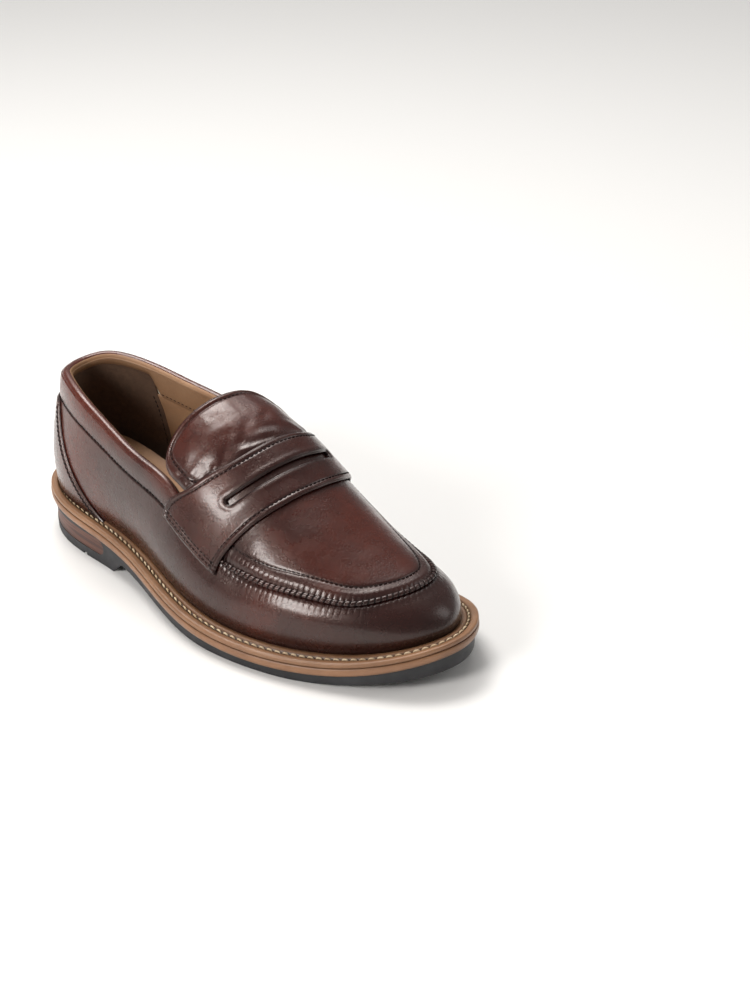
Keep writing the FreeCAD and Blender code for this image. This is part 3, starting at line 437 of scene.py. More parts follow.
class Nodes:
    """Short way to make and join shader nodes."""

    def __init__(self, name):
        self.material = bpy.data.materials.new(name)
        self.material.use_nodes = True
        self.tree = self.material.node_tree
        self.bsdf = self.tree.nodes["Principled BSDF"]
        self.where = self.make("ShaderNodeTexCoord").outputs["Object"]
        materials[name] = self.material

    def make(self, kind, **values):
        node = self.tree.nodes.new(kind)
        for key, value in values.items():
            setattr(node, key, value)
        return node

    def put(self, socket, value):
        if isinstance(value, bpy.types.NodeSocket):
            self.tree.links.new(value, socket)
        else:
            socket.default_value = value

    def noise(self, scale, detail=2.0, rough=0.5, stretch=None, distortion=0.0):
        node = self.make("ShaderNodeTexNoise")
        source = self.where
        if stretch:
            mapping = self.make("ShaderNodeMapping")
            self.put(mapping.inputs["Vector"], source)
            mapping.inputs["Scale"].default_value = stretch
            source = mapping.outputs["Vector"]
        self.put(node.inputs["Vector"], source)
        for key, value in (("Scale", scale), ("Detail", detail), ("Roughness", rough),
                           ("Distortion", distortion)):
            node.inputs[key].default_value = value
        return node.outputs["Fac"]

    def cells(self, scale, feature="F1"):
        node = self.make("ShaderNodeTexVoronoi", feature=feature)
        self.put(node.inputs["Vector"], self.where)
        node.inputs["Scale"].default_value = scale
        return node.outputs["Distance"]

    def mark(self, name):
        return self.make("ShaderNodeAttribute", attribute_name=name).outputs["Fac"]

    def ramp(self, value, low, high, out_low=0.0, out_high=1.0):
        node = self.make("ShaderNodeMapRange")
        self.put(node.inputs["Value"], value)
        for key, number in (("From Min", low), ("From Max", high), ("To Min", out_low), ("To Max", out_high)):
            self.put(node.inputs[key], number)
        return node.outputs["Result"]

    def math(self, kind, a, b=0.0):
        node = self.make("ShaderNodeMath", operation=kind)
        self.put(node.inputs[0], a)
        self.put(node.inputs[1], b)
        return node.outputs[0]

    def mix(self, factor, a, b):
        node = self.make("ShaderNodeMix", data_type="RGBA")
        self.put(node.inputs[0], factor)
        self.put(node.inputs[6], a)
        self.put(node.inputs[7], b)
        return node.outputs[2]

    def bump(self, height, distance, strength=1.0, normal=None):
        node = self.make("ShaderNodeBump")
        self.put(node.inputs["Height"], height)
        node.inputs["Distance"].default_value = distance
        node.inputs["Strength"].default_value = strength
        if normal is not None:
            self.put(node.inputs["Normal"], normal)
        return node.outputs["Normal"]

    def set(self, **values):
        for key, value in values.items():
            self.put(self.bsdf.inputs[key.replace("_", " ")], value)


def rgb(r, g, b):
    return (r, g, b, 1.0)


def upper_leather(name, dark, mid, red):
    n = Nodes(name)
    broad = n.noise(16, 3, 0.55)
    cloud = n.noise(55, 4, 0.6, distortion=0.4)
    fine = n.noise(420, 3, 0.6)
    tone = n.math("ADD", n.math("MULTIPLY", broad, 0.75), n.math("MULTIPLY", cloud, 0.25))
    tone = n.math("ADD", tone, n.math("MULTIPLY", n.mark("warm"), 0.22))
    colour = n.mix(n.ramp(tone, 0.30, 0.58), dark, mid)
    colour = n.mix(n.ramp(tone, 0.50, 0.78), colour, red)
    colour = n.mix(n.ramp(fine, 0.35, 0.75, 0.0, 0.35), colour, dark)
    # burnish_and_shade attribute mixes towards near-black: real burnish at the toe and real dark cut edges,
    # painted shade along seams, stitch rows, under the strap and by the welt
    burnish_and_shade = n.math("MULTIPLY", n.mark("burnish_and_shade"), n.ramp(cloud, 0.3, 0.7, 0.75, 1.0))
    colour = n.mix(burnish_and_shade, colour, rgb(0.0070, 0.0020, 0.0022))
    colour = n.mix(n.math("MULTIPLY", n.mark("worn"), 0.5), colour, rgb(0.022, 0.009, 0.008))
    pores = n.cells(1500)
    grain = n.noise(900, 4, 0.65)
    rough = n.ramp(n.noise(130, 3), 0.3, 0.7, 0.22, 0.32)
    rough = n.math("ADD", rough, n.math("MULTIPLY", n.mark("worn"), 0.15))
    creases = n.noise(26, 3, 0.6, stretch=(1.0, 3.2, 1.0), distortion=0.6)
    normal = n.bump(creases, 0.0012, 0.10)
    normal = n.bump(grain, 0.00040, 0.55, normal)
    normal = n.bump(n.ramp(pores, 0.0, 0.5), 0.00010, 0.32, normal)
    n.set(Base_Color=colour, Roughness=rough, Normal=normal, Coat_Weight=0.50, Coat_Roughness=0.17,
          Specular_IOR_Level=0.42, Specular_Tint=rgb(1.0, 0.80, 0.72))
    n.put(n.bsdf.inputs["Coat Normal"], n.bump(n.noise(700, 3), 0.0003, 0.28))


def plain_leather(name, low, high, rough=0.6, pore=1400, depth=0.0002):
    n = Nodes(name)
    colour = n.mix(n.ramp(n.noise(30, 4, 0.6), 0.35, 0.68), low, high)
    colour = n.mix(n.ramp(n.noise(700, 3), 0.4, 0.8, 0.0, 0.35), colour, low)
    # painted shade: darkens the lining, collar band and sock inside the shoe and the welt in its stitch channel
    # and joints
    colour = n.mix(n.math("MULTIPLY", n.mark("burnish_and_shade"), 0.8), colour, tuple(c * 0.25 for c in low[:3]) + (1.0,))
    normal = n.bump(n.noise(600, 4, 0.65), depth * 1.6, 0.5)
    normal = n.bump(n.cells(pore), depth, 0.5, normal)
    n.set(Base_Color=colour, Roughness=rough, Normal=normal)


def suede(name, low, high):
    n = Nodes(name)
    nap = n.noise(260, 5, 0.75, distortion=0.8)
    colour = n.mix(n.ramp(nap, 0.3, 0.7), low, high)
    colour = n.mix(n.ramp(n.noise(24, 3), 0.35, 0.7, 0.0, 0.5), colour, low)
    n.set(Base_Color=colour, Roughness=0.95, Sheen_Weight=0.35, Sheen_Roughness=0.6,
          Normal=n.bump(n.noise(1600, 4, 0.8), 0.0004, 0.7))
    n.bsdf.inputs["Sheen Tint"].default_value = rgb(0.45, 0.28, 0.18)


def rubber(name, low, high, rough):
    n = Nodes(name)
    colour = n.mix(n.ramp(n.noise(60, 4, 0.6), 0.35, 0.7), low, high)
    # painted shade: darkens the midsole at its joints with the welt and the outsole and on hidden faces
    colour = n.mix(n.math("MULTIPLY", n.mark("burnish_and_shade"), 0.85), colour, tuple(c * 0.2 for c in low[:3]) + (1.0,))
    n.set(Base_Color=colour, Roughness=n.ramp(n.noise(180, 3), 0.3, 0.7, rough - 0.06, rough + 0.08),
          Normal=n.bump(n.noise(900, 3), 0.00012, 0.4))


def wood_look(name, low, high):
    n = Nodes(name)
    grain = n.noise(90, 5, 0.65, stretch=(0.25, 0.25, 7.0), distortion=0.9)
    streak = n.noise(300, 3, 0.6, stretch=(0.12, 0.12, 6.0))
    colour = n.mix(n.ramp(grain, 0.38, 0.62), low, high)
    colour = n.mix(n.ramp(streak, 0.45, 0.7, 0.0, 0.55), colour, low)
    n.set(Base_Color=colour, Roughness=0.5, Normal=n.bump(streak, 0.0002, 0.35))


def yarn(name, low, high):
    n = Nodes(name)
    colour = n.mix(n.ramp(n.mark("tone"), 0.0, 1.0), low, high)
    n.set(Base_Color=colour, Roughness=0.8, Specular_IOR_Level=0.25,
          Normal=n.bump(n.noise(2600, 3), 0.0002, 0.8))


def plain(name, colour, rough, metallic=0.0, grain=200):
    n = Nodes(name)
    shade = tuple(v * 0.8 for v in colour)
    c = n.mix(n.ramp(n.noise(grain, 4, 0.6), 0.3, 0.7), shade + (1.0,), colour + (1.0,))
    n.set(Base_Color=c, Roughness=rough, Metallic=metallic, Normal=n.bump(n.noise(grain * 4, 3), 0.0003, 0.4))


upper_leather("burgundy_leather", rgb(0.013, 0.0027, 0.0024), rgb(0.040, 0.0066, 0.0040),
              rgb(0.090, 0.0145, 0.0066))
plain_leather("tan_lining", rgb(0.40, 0.215, 0.110), rgb(0.54, 0.315, 0.175), 0.55)
plain_leather("welt_tan", rgb(0.205, 0.098, 0.046), rgb(0.31, 0.160, 0.080), 0.38, depth=0.00012)
suede("brown_suede", rgb(0.045, 0.022, 0.012), rgb(0.090, 0.048, 0.027))
rubber("midsole_tan", rgb(0.225, 0.108, 0.052), rgb(0.31, 0.155, 0.078), 0.36)
rubber("outsole_rubber", rgb(0.016, 0.016, 0.018), rgb(0.030, 0.030, 0.033), 0.58)
wood_look("heel_wood_look", rgb(0.050, 0.018, 0.012), rgb(0.150, 0.055, 0.034))
yarn("cream_thread", rgb(0.50, 0.36, 0.22), rgb(0.72, 0.58, 0.40))
yarn("dark_thread", rgb(0.005, 0.0025, 0.0025), rgb(0.016, 0.007, 0.006))
plain("cork_filler", (0.40, 0.25, 0.14), 0.9, grain=500)
plain("shank_steel", (0.55, 0.55, 0.57), 0.35, 1.0)
plain("fibre_board", (0.45, 0.34, 0.24), 0.85)
plain("footbed_foam", (0.70, 0.63, 0.52), 0.9, grain=900)
plain("collar_foam", (0.68, 0.62, 0.50), 0.9, grain=900)
plain("stiffener", (0.70, 0.64, 0.52), 0.8)
plain("textile_lining", (0.42, 0.30, 0.20), 0.9, grain=1200)
for part in frame["record"]["subparts"]:
    node = frame["nodes"][part["node"]]
    node.data.materials.clear()
    node.data.materials.append(materials[part["material_slot"]])

FINE = 1.0


def steps(count):
    return max(int(count * FINE), 8)


# ------------------------------------------------------------------ upper: vamp and inner quarter
U_SEAM = station(168, True)
U_APRON_OUT, U_APRON_IN = station(190, False), station(194, True)
many = np.linspace(0, 1, 4001)
edge_line = top_edge(many)
EDGE_LENGTH = np.concatenate([[0], np.cumsum(np.linalg.norm(np.diff(edge_line, axis=0), axis=1))])
HEIGHT = np.linalg.norm(np.diff(wall(many[:, None], np.linspace(0, 1, 30)[None]), axis=1), axis=-1).sum(1)
PUCKER = 3.1


def pinch(s, width=0.16):
    """1 in the middle of each stitch's pull, 0 between stitches."""
    f = np.mod(s / PUCKER, 1.0)
    return np.exp(-(np.minimum(f, 1 - f) / width) ** 2)


def seam_share(u):
    """1 where the apron's seam runs, fading under the saddle."""
    u = np.mod(u, 1.0)
    a = outline(u)[..., 0] - np.where(u > TOE, 194, 185)
    return smooth(a, 0, 5)


COLLAR_ROW = 0.82


def upper_marks(u, v):
    u, v = np.broadcast_arrays(u, v)
    um = np.mod(u, 1.0)
    height = np.interp(um, many, HEIGHT)
    s = np.interp(um, many, EDGE_LENGTH)
    down = (1 - v) * height
    p = wall(u, np.minimum(v, 1))
    roll = np.clip(roll_share(u), 0, 1)
    seam = seam_share(u)
    lift = 0.9 * np.sin(math.pi * np.clip((v - COLLAR_ROW) / 0.24, 0, 1)) ** 1.2 * roll
    lift = lift - 0.42 * np.exp(-(((v - COLLAR_ROW) * height) / 0.75) ** 2) * smooth(roll, 0.3, 0.9)
    lift = lift - 0.30 * pinch(s + 0.25 * down) * np.exp(-np.maximum(down - 0.6, 0) / 2.4) * seam
    lift = lift + 0.35 * seam * np.exp(-((down - 2.2) / 1.8) ** 2)
    lift = lift + 0.16 * ripple(p, 38) * smooth(v, 0.03, 0.25) + 0.05 * ripple(p, 13, 9)
    # toe darkening is the real burnished toe; darker at the foot of the wall by the welt, beside the apron seam
    # and along the collar stitch row is painted shade
    burnish_and_shade = 0.85 * smooth(p[..., 0], 262, 300) + 0.75 * (1 - smooth(v, 0.0, 0.16))
    burnish_and_shade = burnish_and_shade + 0.45 * seam * np.exp(-np.maximum(down - 1, 0) / 5.0)
    burnish_and_shade = burnish_and_shade + 0.55 * np.exp(-(((v - COLLAR_ROW) * height) / 1.6) ** 2) * roll
    warm = smooth(v, 0.84, 1.05) * roll * 0.9 + 0.35 * smooth(p[..., 0], 120, 40) * roll
    return lift, np.clip(burnish_and_shade, 0, 1), np.clip(warm, 0, 1)


def upper_piece(name, first, last, columns, **more):
    u = np.linspace(first, last, columns)[:, None]
    v = np.concatenate([np.linspace(0, 0.78, steps(120)), np.linspace(0.785, 0.97, steps(64)),
                        np.linspace(0.973, 1.0, steps(12)), np.linspace(1.02, 1.70, steps(34))])[None]
    lift, burnish_and_shade, warm = upper_marks(u, v)
    front = skin(u, v, -lift * np.where(v > 1, np.clip(1.5 - v, 0, 1), 1))
    back = skin(u, v, 1.5)
    return grid_sheet(name, front, back, "burgundy_leather", {"burnish_and_shade": burnish_and_shade, "warm": warm}, **more)


TURN = 0.0006
upper_piece("Upper_vamp_and_outer_quarter", TURN, U_SEAM - TURN, steps(1300), nodes=["vamp"])
upper_piece("Upper_medial_quarter", U_SEAM + TURN, 1 - TURN, steps(560), nodes=["medial_quarter"])


# ------------------------------------------------------------------ heel counter overlay
COUNTER_TOP = 0.80
REACH_OUT, REACH_IN = station(76, False), station(76, True) - 1.0


def counter_reach(v):
    return 1.0 - 0.62 * (v / COUNTER_TOP) ** 0.8


s = np.linspace(-1, 1, steps(420))[:, None]
v = np.linspace(0.0, COUNTER_TOP, steps(150))[None]
u = np.abs(s) * np.where(s < 0, REACH_IN, REACH_OUT) * counter_reach(v)
height = np.interp(np.mod(u, 1), many, HEIGHT)
side_gap = (1 - np.abs(s)) * np.abs(np.where(s < 0, REACH_IN, REACH_OUT)) * counter_reach(v) * ROUND
top_gap = (COUNTER_TOP - v) * height
gap = np.minimum(side_gap, top_gap)
lift = 1.55 - 0.55 * (1 - smooth(gap, 0, 0.9)) - 0.35 * np.exp(-((side_gap - 3.2) / 0.6) ** 2)
lift = lift - 0.30 * np.exp(-((side_gap - 5.0) / 0.6) ** 2)
lift = lift - 0.35 * np.exp(-(top_gap - 2.6) ** 2 / 0.3)
p = wall(u, v)
lift = lift + 0.13 * ripple(p, 30, 3)
# dark cut edge is real edge dye; darker at the foot by the welt and along the stitch rows is painted shade
burnish_and_shade = 0.8 * np.exp(-gap / 1.0) + 0.7 * (1 - smooth(v, 0, 0.15)) + 0.4 * np.exp(-((side_gap - 4) / 1.6) ** 2)
grid_sheet("Counter_overlay", skin(u, v, -lift), skin(u, v, 0.02) + 0 * s[..., None], "burgundy_leather",
           {"burnish_and_shade": np.clip(burnish_and_shade, 0, 1), "warm": 0.2 + 0 * u}, nodes=["heel_counter"])


def counter_path(inner, behind):
    reach = REACH_IN if inner else REACH_OUT
    v = np.linspace(0.02, COUNTER_TOP - 0.045, 200)
    u = reach * counter_reach(v) - math.copysign(behind / ROUND, reach)
    return skin(u, v, -1.38), -inward_normal(u, v)


for side, inner in (("outer", False), ("inner", True)):
    for row, behind in (("near", 3.2), ("far", 5.0)):
        path, ups = counter_path(inner, behind)
        stitch_row("Counter_stitches_%s_%s" % (side, row), path, ups, "dark_thread", 2.6, 2.0, 0.30,
                   nodes=["counter_stitching"])

u = np.linspace(station(150, True) - 1, station(150, False), 900)
stitch_row("Collar_stitches", skin(u, COLLAR_ROW, 0.22), -inward_normal(u, COLLAR_ROW), "dark_thread",
           2.7, 2.1, 0.33, nodes=["topline_stitching"])
v = np.linspace(0.03, 0.80, 160)
for row, off in (("near", 0.0040), ("far", 0.0072)):
    u = np.full_like(v, U_SEAM + off)
    stitch_row("Inner_seam_stitches_" + row, skin(u, v, -0.05), -inward_normal(u, v), "dark_thread",
               2.6, 2.0, 0.3, nodes=["medial_seam_stitching"])


# ------------------------------------------------------------------ apron and its hand-sewn seam
REAR = [(142, -46), (152, -38.5), (166, -25), (173.5, -10), (177, 5), (178, 20), (171, 32), (162, 41),
        (157, 46)]
FRONT = [(180, -49), (187, -41), (197, -28), (204, -10), (207, 6), (205.5, 20), (199, 32), (191, 41),
         (186, 46)]
rear_line = Curve([p[1] for p in REAR], [p[0] for p in REAR])
front_line = Curve([p[1] for p in FRONT], [p[0] for p in FRONT])
STRAP_OUT, STRAP_IN, LIFT = -47.5, 43.0, 1.3

u_left, u_right = station(254, False), station(254, True)
left = seam_point(np.linspace(U_APRON_OUT, u_left, steps(240)), 0.3)
right = seam_point(np.linspace(U_APRON_IN, u_right, steps(240)), 0.3)
ahead = seam_point(np.linspace(u_left, u_right, steps(260)), 0.3)
back_x = np.concatenate([[-40.5], np.linspace(-38, 33, 30)])
back_a = rear_line(back_x) + np.where(back_x < -36, 9.5, 7.0)
rear = resample(np.concatenate([left[:1], np.stack([back_a, back_x], -1), right[:1]]), len(ahead))
plan = coons(rear, ahead, left, right)
seam_u = np.linspace(U_APRON_OUT, U_APRON_IN, 1400)
seam_plan = seam_point(seam_u, 0.0)
seam_s = np.interp(seam_u, many, EDGE_LENGTH)
flat = plan.reshape(-1, 2)
gap, along_s = np.empty(len(flat)), np.empty(len(flat))
for start in range(0, len(flat), 4000):
    part = flat[start:start + 4000]
    d = np.linalg.norm(part[:, None] - seam_plan[None], axis=-1)
    pick = d.argmin(1)
    gap[start:start + 4000], along_s[start:start + 4000] = d[np.arange(len(part)), pick], seam_s[pick]
gap, along_s = gap.reshape(plan.shape[:2]), along_s.reshape(plan.shape[:2])
a, x = plan[..., 0], plan[..., 1]
p = over_instep(a, x)


def inner_row(a):
    """The second row's distance from the seam: closer beside the saddle, wider at the toe."""
    return 4.4 + 2.8 * smooth(a, 195, 250)


open_part = smooth(a - front_line(np.clip(x, -49, 46)), -4, 0)
row_gap = gap - inner_row(a)
lift = 0.4 + 0.55 * np.exp(-((gap - 0.5 * inner_row(a)) / 1.7) ** 2) * open_part
lift = lift - 0.5 * np.exp(-(gap / 1.2) ** 2)
lift = lift - 0.42 * np.exp(-(row_gap / 0.7) ** 2) * open_part
lift = lift - 0.26 * pinch(along_s - 0.3 * gap) * np.exp(-np.maximum(gap - 1.2, 0) / 1.8) * open_part
lift = lift + 0.16 * ripple(p, 30, 5) + 0.04 * ripple(p, 11, 12)
# painted shade: darker beside the seam, in the second stitch row and where the apron runs under the strap
burnish_and_shade = 0.55 * np.exp(-gap / 2.2) + 0.35 * np.exp(-(row_gap / 1.4) ** 2)
burnish_and_shade = burnish_and_shade + 0.5 * (1 - smooth(np.minimum(a - front_line(np.clip(x, -49, 46)), 30), -1, 6))
grid_sheet("Apron", over_instep(a, x, lift), over_instep(a, x, -1.1), "burgundy_leather",
           {"burnish_and_shade": np.clip(burnish_and_shade, 0, 1), "warm": 0.55 * smooth(gap, 4, 14)}, nodes=["apron"])

# ridge: the gathered edge of the vamp, rolled over the apron's edge
u = np.linspace(station(185, False), station(194, True), steps(2500))
plan_line = seam_point(u, -0.1)
ups = instep_up(plan_line[:, 0], plan_line[:, 1])
centre = over_instep(plan_line[:, 0], plan_line[:, 1], 0.15)
tangent = unit(np.gradient(centre, axis=0))
across = unit(np.cross(tangent, ups))
s = np.interp(u, many, EDGE_LENGTH)[:, None]
angle = np.linspace(-0.5, math.pi + 0.5, 22)[None]
RIDGE = 1.2
radius = RIDGE * (1 - 0.24 * pinch(s + 0.55 * np.cos(angle), 0.13)) * (1 + 0.05 * np.sin(s * 0.9))
ring = across[:, None] * (np.cos(angle) * radius * 1.15)[..., None]
ring = ring + ups[:, None] * (np.sin(angle) * radius)[..., None]
front = centre[:, None] + ring
back = centre[:, None] + ring * 0.45
# darker all along the ridge, with painted shade in each stitch pucker
grid_sheet("Seam_ridge", front, back, "burgundy_leather",
           {"burnish_and_shade": 0.35 + 0.6 * pinch(s + 0.55 * np.cos(angle), 0.15)}, nodes=["apron_stitching"])
count = int((s[-1, 0] - s[0, 0]) / PUCKER)
first = math.ceil(s[0, 0] / PUCKER)
stops = (first + np.arange(count)) * PUCKER
turn = np.linspace(-0.35, math.pi + 0.35, 11)
where = stops[:, None] - 0.55 * np.cos(turn)[None]
line = [np.stack([np.interp(where, s[:, 0], c[:, k]) for k in range(3)], -1) for c in (centre, across, ups)]
reach = RIDGE * 0.78 + 0.22
arcs = line[0] + line[1] * (np.cos(turn) * reach * 1.2)[None, :, None]
arcs = arcs + line[2] * (np.sin(turn) * reach)[None, :, None]
tubes("Seam_whip_stitches", arcs, unit(arcs - line[0]), 0.27, "dark_thread", nodes=["apron_stitching"])

u = np.linspace(station(194, False), station(199, True), 900)
row_plan = seam_point(u, inner_row(outline(u)[:, 0] - 6))
stitch_row("Apron_inner_stitches", over_instep(row_plan[:, 0], row_plan[:, 1], 0.12),
           instep_up(row_plan[:, 0], row_plan[:, 1]), "dark_thread", 2.5, 1.9, 0.30,
           nodes=["apron_inner_stitching"])


# ------------------------------------------------------------------ saddle strap with its slot
def wall_spot(a, v, inner, lift):
    lo, hi = np.full_like(a, TOE if inner else 0.0), np.full_like(a, 1.0 if inner else TOE)
    for _ in range(30):
        u = 0.5 * (lo + hi)
        high = (wall(u, v)[..., 0] > a) != inner
        hi, lo = np.where(high, u, hi), np.where(high, lo, u)
    return skin(u, v, -lift)


def strap_lines(share, lift, count):
    """Curves along the strap for an array of shares across it: (count, shares, 3)."""
    def ahead(x):
        return rear_line(x) + (front_line(x) - rear_line(x)) * share
    points = [wall_spot(ahead(STRAP_OUT), v, False, lift) for v in (0.77, 0.86)]
    points += [over_instep(ahead(x), np.full_like(share, x), lift) for x in np.linspace(-38, 33, 13)]
    points += [wall_spot(ahead(STRAP_IN), v, True, lift) for v in (0.89, 0.76)]
    points = np.array(points)
    columns = []
    for j in range(len(share)):
        line = points[:, j]
        total = np.concatenate([[0], np.cumsum(np.linalg.norm(np.diff(line, axis=0), axis=1))])
        columns.append(Curve(total / total[-1], line)(np.linspace(0, 1, count)))
    return np.stack(columns, 1)


SHARES = 41
S_COUNT = steps(720)
strap_low = strap_lines(np.linspace(0, 1, SHARES), LIFT, S_COUNT)
strap_high = strap_lines(np.linspace(0, 1, SHARES), LIFT + LEATHER, S_COUNT)


def at_share(grid, share):
    """Cubic reading of a strap grid at a share for each column: share (columns, rows)."""
    x = np.clip(share, 0, 1) * (SHARES - 1)
    i = np.clip(np.floor(x).astype(int), 0, SHARES - 2)
    f = (x - i)[..., None]
    c = np.arange(len(grid))[:, None]
    p0, p1 = grid[c, np.maximum(i - 1, 0)], grid[c, i]
    p2, p3 = grid[c, i + 1], grid[c, np.minimum(i + 2, SHARES - 1)]
    p0 = np.where((i == 0)[..., None], 2 * p1 - p2, p0)
    p3 = np.where((i == SHARES - 2)[..., None], 2 * p2 - p1, p3)
    return 0.5 * (2 * p1 + (p2 - p0) * f + (2 * p0 - 5 * p1 + 4 * p2 - p3) * f ** 2
                  + (3 * p1 - p0 - 3 * p2 + p3) * f ** 3)


middle = strap_high[:, SHARES // 2]
strap_s = np.concatenate([[0], np.cumsum(np.linalg.norm(np.diff(middle, axis=0), axis=1))])
strap_wide = np.linalg.norm(np.diff(strap_high, axis=1), axis=-1).sum(1)
slot_low = float(np.interp(-36.0, middle[:, 1], strap_s))
slot_high = float(np.interp(27.0, middle[:, 1], strap_s))
half = 2.3                       # half the slot's width
from_ends = np.minimum(strap_s - slot_low, slot_high - strap_s)
round_end = np.sqrt(np.clip(1 - (1 - np.clip(from_ends / half, 0, 1)) ** 2, 0, 1))
opening = np.where(from_ends <= 0, 0, half * round_end)
opening = opening / strap_wide
rows = steps(90)
t = np.linspace(0, 1, rows)
t = t - 0.06 * np.sin(2 * math.pi * t)
rear_share = t[None] * (0.5 - opening)[:, None]
front_share = 0.5 + opening[:, None] + t[None] * (0.5 - opening)[:, None]
fronts, backs, faces, burnish_and_shade_parts, base = [], [], [], [], 0
for share in (rear_share, front_share):
    low, high = at_share(strap_low, share), at_share(strap_high, share)
    long_gap = np.minimum(share, 1 - share) * strap_wide[:, None]
    end_gap = np.minimum(strap_s, strap_s[-1] - strap_s)[:, None]
    beyond = np.maximum(np.maximum(slot_low + half - strap_s, strap_s - slot_high + half), 0)[:, None]
    slot_gap = np.hypot(np.abs(share - 0.5) * strap_wide[:, None], beyond) - half
    edge = np.minimum(np.minimum(long_gap, end_gap), np.maximum(slot_gap, 0))
    drop = 0.55 * (1 - smooth(edge, 0, 1.0)) + 0.34 * np.exp(-((long_gap - 2.7) / 0.65) ** 2)
    drop = drop + 0.30 * np.exp(-((end_gap - 2.3) / 0.6) ** 2) + 0.30 * np.exp(-((end_gap - 4.6) / 0.6) ** 2)
    drop = drop - 0.25 * np.exp(-((slot_gap - 2.2) / 1.6) ** 2)
    drop = drop - 0.15 * ripple(low, 26, 10) - 0.04 * ripple(low, 9, 2)
    fronts.append(low + (high - low) * (1 - drop / LEATHER)[..., None])
    backs.append(low)
    # dark cut edges are real edge dye; painted shade in the stitch grooves and around the slot; darker towards
    # the ends
    burnish_and_shade = 0.55 * np.exp(-edge / 0.9) + 0.45 * np.exp(-((long_gap - 2.7) / 1.2) ** 2)
    burnish_and_shade = burnish_and_shade + 0.35 * (1 - smooth(end_gap, 6, 26)) + 0.9 * np.exp(-np.maximum(slot_gap, 0) / 1.3)
    burnish_and_shade_parts.append(burnish_and_shade)
    faces.append(quads_of(*share.shape, start=base))
    base += share.size
front = np.concatenate([f.reshape(-1, 3) for f in fronts])
back = np.concatenate([f.reshape(-1, 3) for f in backs])
burnish_and_shade = np.concatenate([b.ravel() for b in burnish_and_shade_parts])
quads = np.concatenate(faces)
same = np.arange(len(front))
shut = np.nonzero(opening <= 0)[0]
same[len(front) // 2 + shut * rows] = shut * rows + rows - 1
kept, again = np.unique(same, return_inverse=True)
sheet("Saddle_strap", front[kept], back[kept], again[quads], "burgundy_leather",
      {"burnish_and_shade": np.clip(burnish_and_shade[kept], 0, 1), "warm": 0.35 + 0 * kept}, nodes=["saddle_strap"])


def strap_path(share, count=600):
    low, high = [at_share(g, np.full((S_COUNT, 1), share))[:, 0] for g in (strap_low, strap_high)]
    ups = unit(high - low)
    pick = slice(int(S_COUNT * 0.02), int(S_COUNT * 0.98))
    return (high - 0.34 * ups)[pick], ups[pick]


for row, share in (("rear", 0.082), ("front", 0.918)):
    path, ups = strap_path(share)
    stitch_row("Saddle_stitches_" + row, path, ups, "dark_thread", 2.6, 2.0, 0.32, nodes=["saddle_stitching"])
for end, inner in (("outer", False), ("inner", True)):
    for row, distance in (("near", 2.3), ("far", 4.6)):
        share = np.linspace(0.06, 0.94, 200)
        k = int(np.searchsorted(strap_s, strap_s[-1] - distance if inner else distance))
        low, high = [at_share(np.repeat(g[k:k + 1], 200, 0), share[:, None])[:, 0]
                     for g in (strap_low, strap_high)]
        ups = unit(high - low)
        stitch_row("Saddle_end_stitches_%s_%s" % (end, row), high - 0.30 * ups, ups, "dark_thread",
                   2.6, 2.0, 0.30, nodes=["saddle_stitching"])


# ------------------------------------------------------------------ tongue: bends up from under the saddle
TONGUE = [(157, -37.5), (166, -23.5), (171.5, -9.5), (174, 3), (175.5, 18), (171.5, 28), (163, 33),
          (151, 29), (143.5, 18), (139, 3), (134.5, -12), (130.5, -24), (131.5, -33), (142, -37.5)]
tongue_line = Curve(range(15), TONGUE + TONGUE[:1], closed=True)


def tongue_plan(shrunk):
    def part(first, last, count, push):
        t = np.linspace(first, last, count)
        p = tongue_line(t)
        middle = np.array([153.0, 0.0])
        p = p - shrunk * unit(p - middle)
        p[:, 0] += push
        return p
    root = part(0, 6, 60, 0.0)
    root[:, 0] += 7.0
    outer = np.concatenate([root[:1], part(14, 12.0, 40, 0.0)])
    inner = np.concatenate([root[-1:], part(6, 7.6, 40, 0.0)])
    tip = part(12.0, 7.6, 80, 0.0)
    n, m = steps(150), steps(220)
    return coons(resample(root, m), resample(tip, m), resample(outer, n), resample(inner, n))


plan = tongue_plan(0.0)
free = tongue_line(np.linspace(5.6, 14.4, 400))
gap = np.linalg.norm(plan[..., None, :] - free, axis=-1).min(-1)
a, x = plan[..., 0], plan[..., 1]
p = over_instep(a, x)
lift = 1.0 + 0.55 * np.exp(-((gap - 1.5) / 1.3) ** 2) - 0.55 * np.exp(-((gap - 3.4) / 0.75) ** 2)
lift = lift - 0.4 * (1 - smooth(gap, 0, 0.8))
back_of_strap = rear_line(np.clip(x, -46, 46)) - a
near_root = np.exp(-np.maximum(back_of_strap - 1, 0) / 9.0)
lift = lift + 1.3 * smooth(back_of_strap, 4, 22) * (1 - 0.5 * np.exp(-gap / 4))
wrinkle = 0.45 * np.sin(x * 0.42 + 2.0 * np.sin(a * 0.35) + 0.8) + 0.30 * ripple(p, 8, 14)
lift = lift + near_root * smooth(back_of_strap, 0.5, 3.5) * wrinkle
lift = lift + (0.18 * ripple(p, 17, 6) + 0.05 * ripple(p, 6, 1)) * smooth(back_of_strap, 0, 3)
lift = np.where(back_of_strap < 1.5, np.minimum(lift, 0.95), lift)
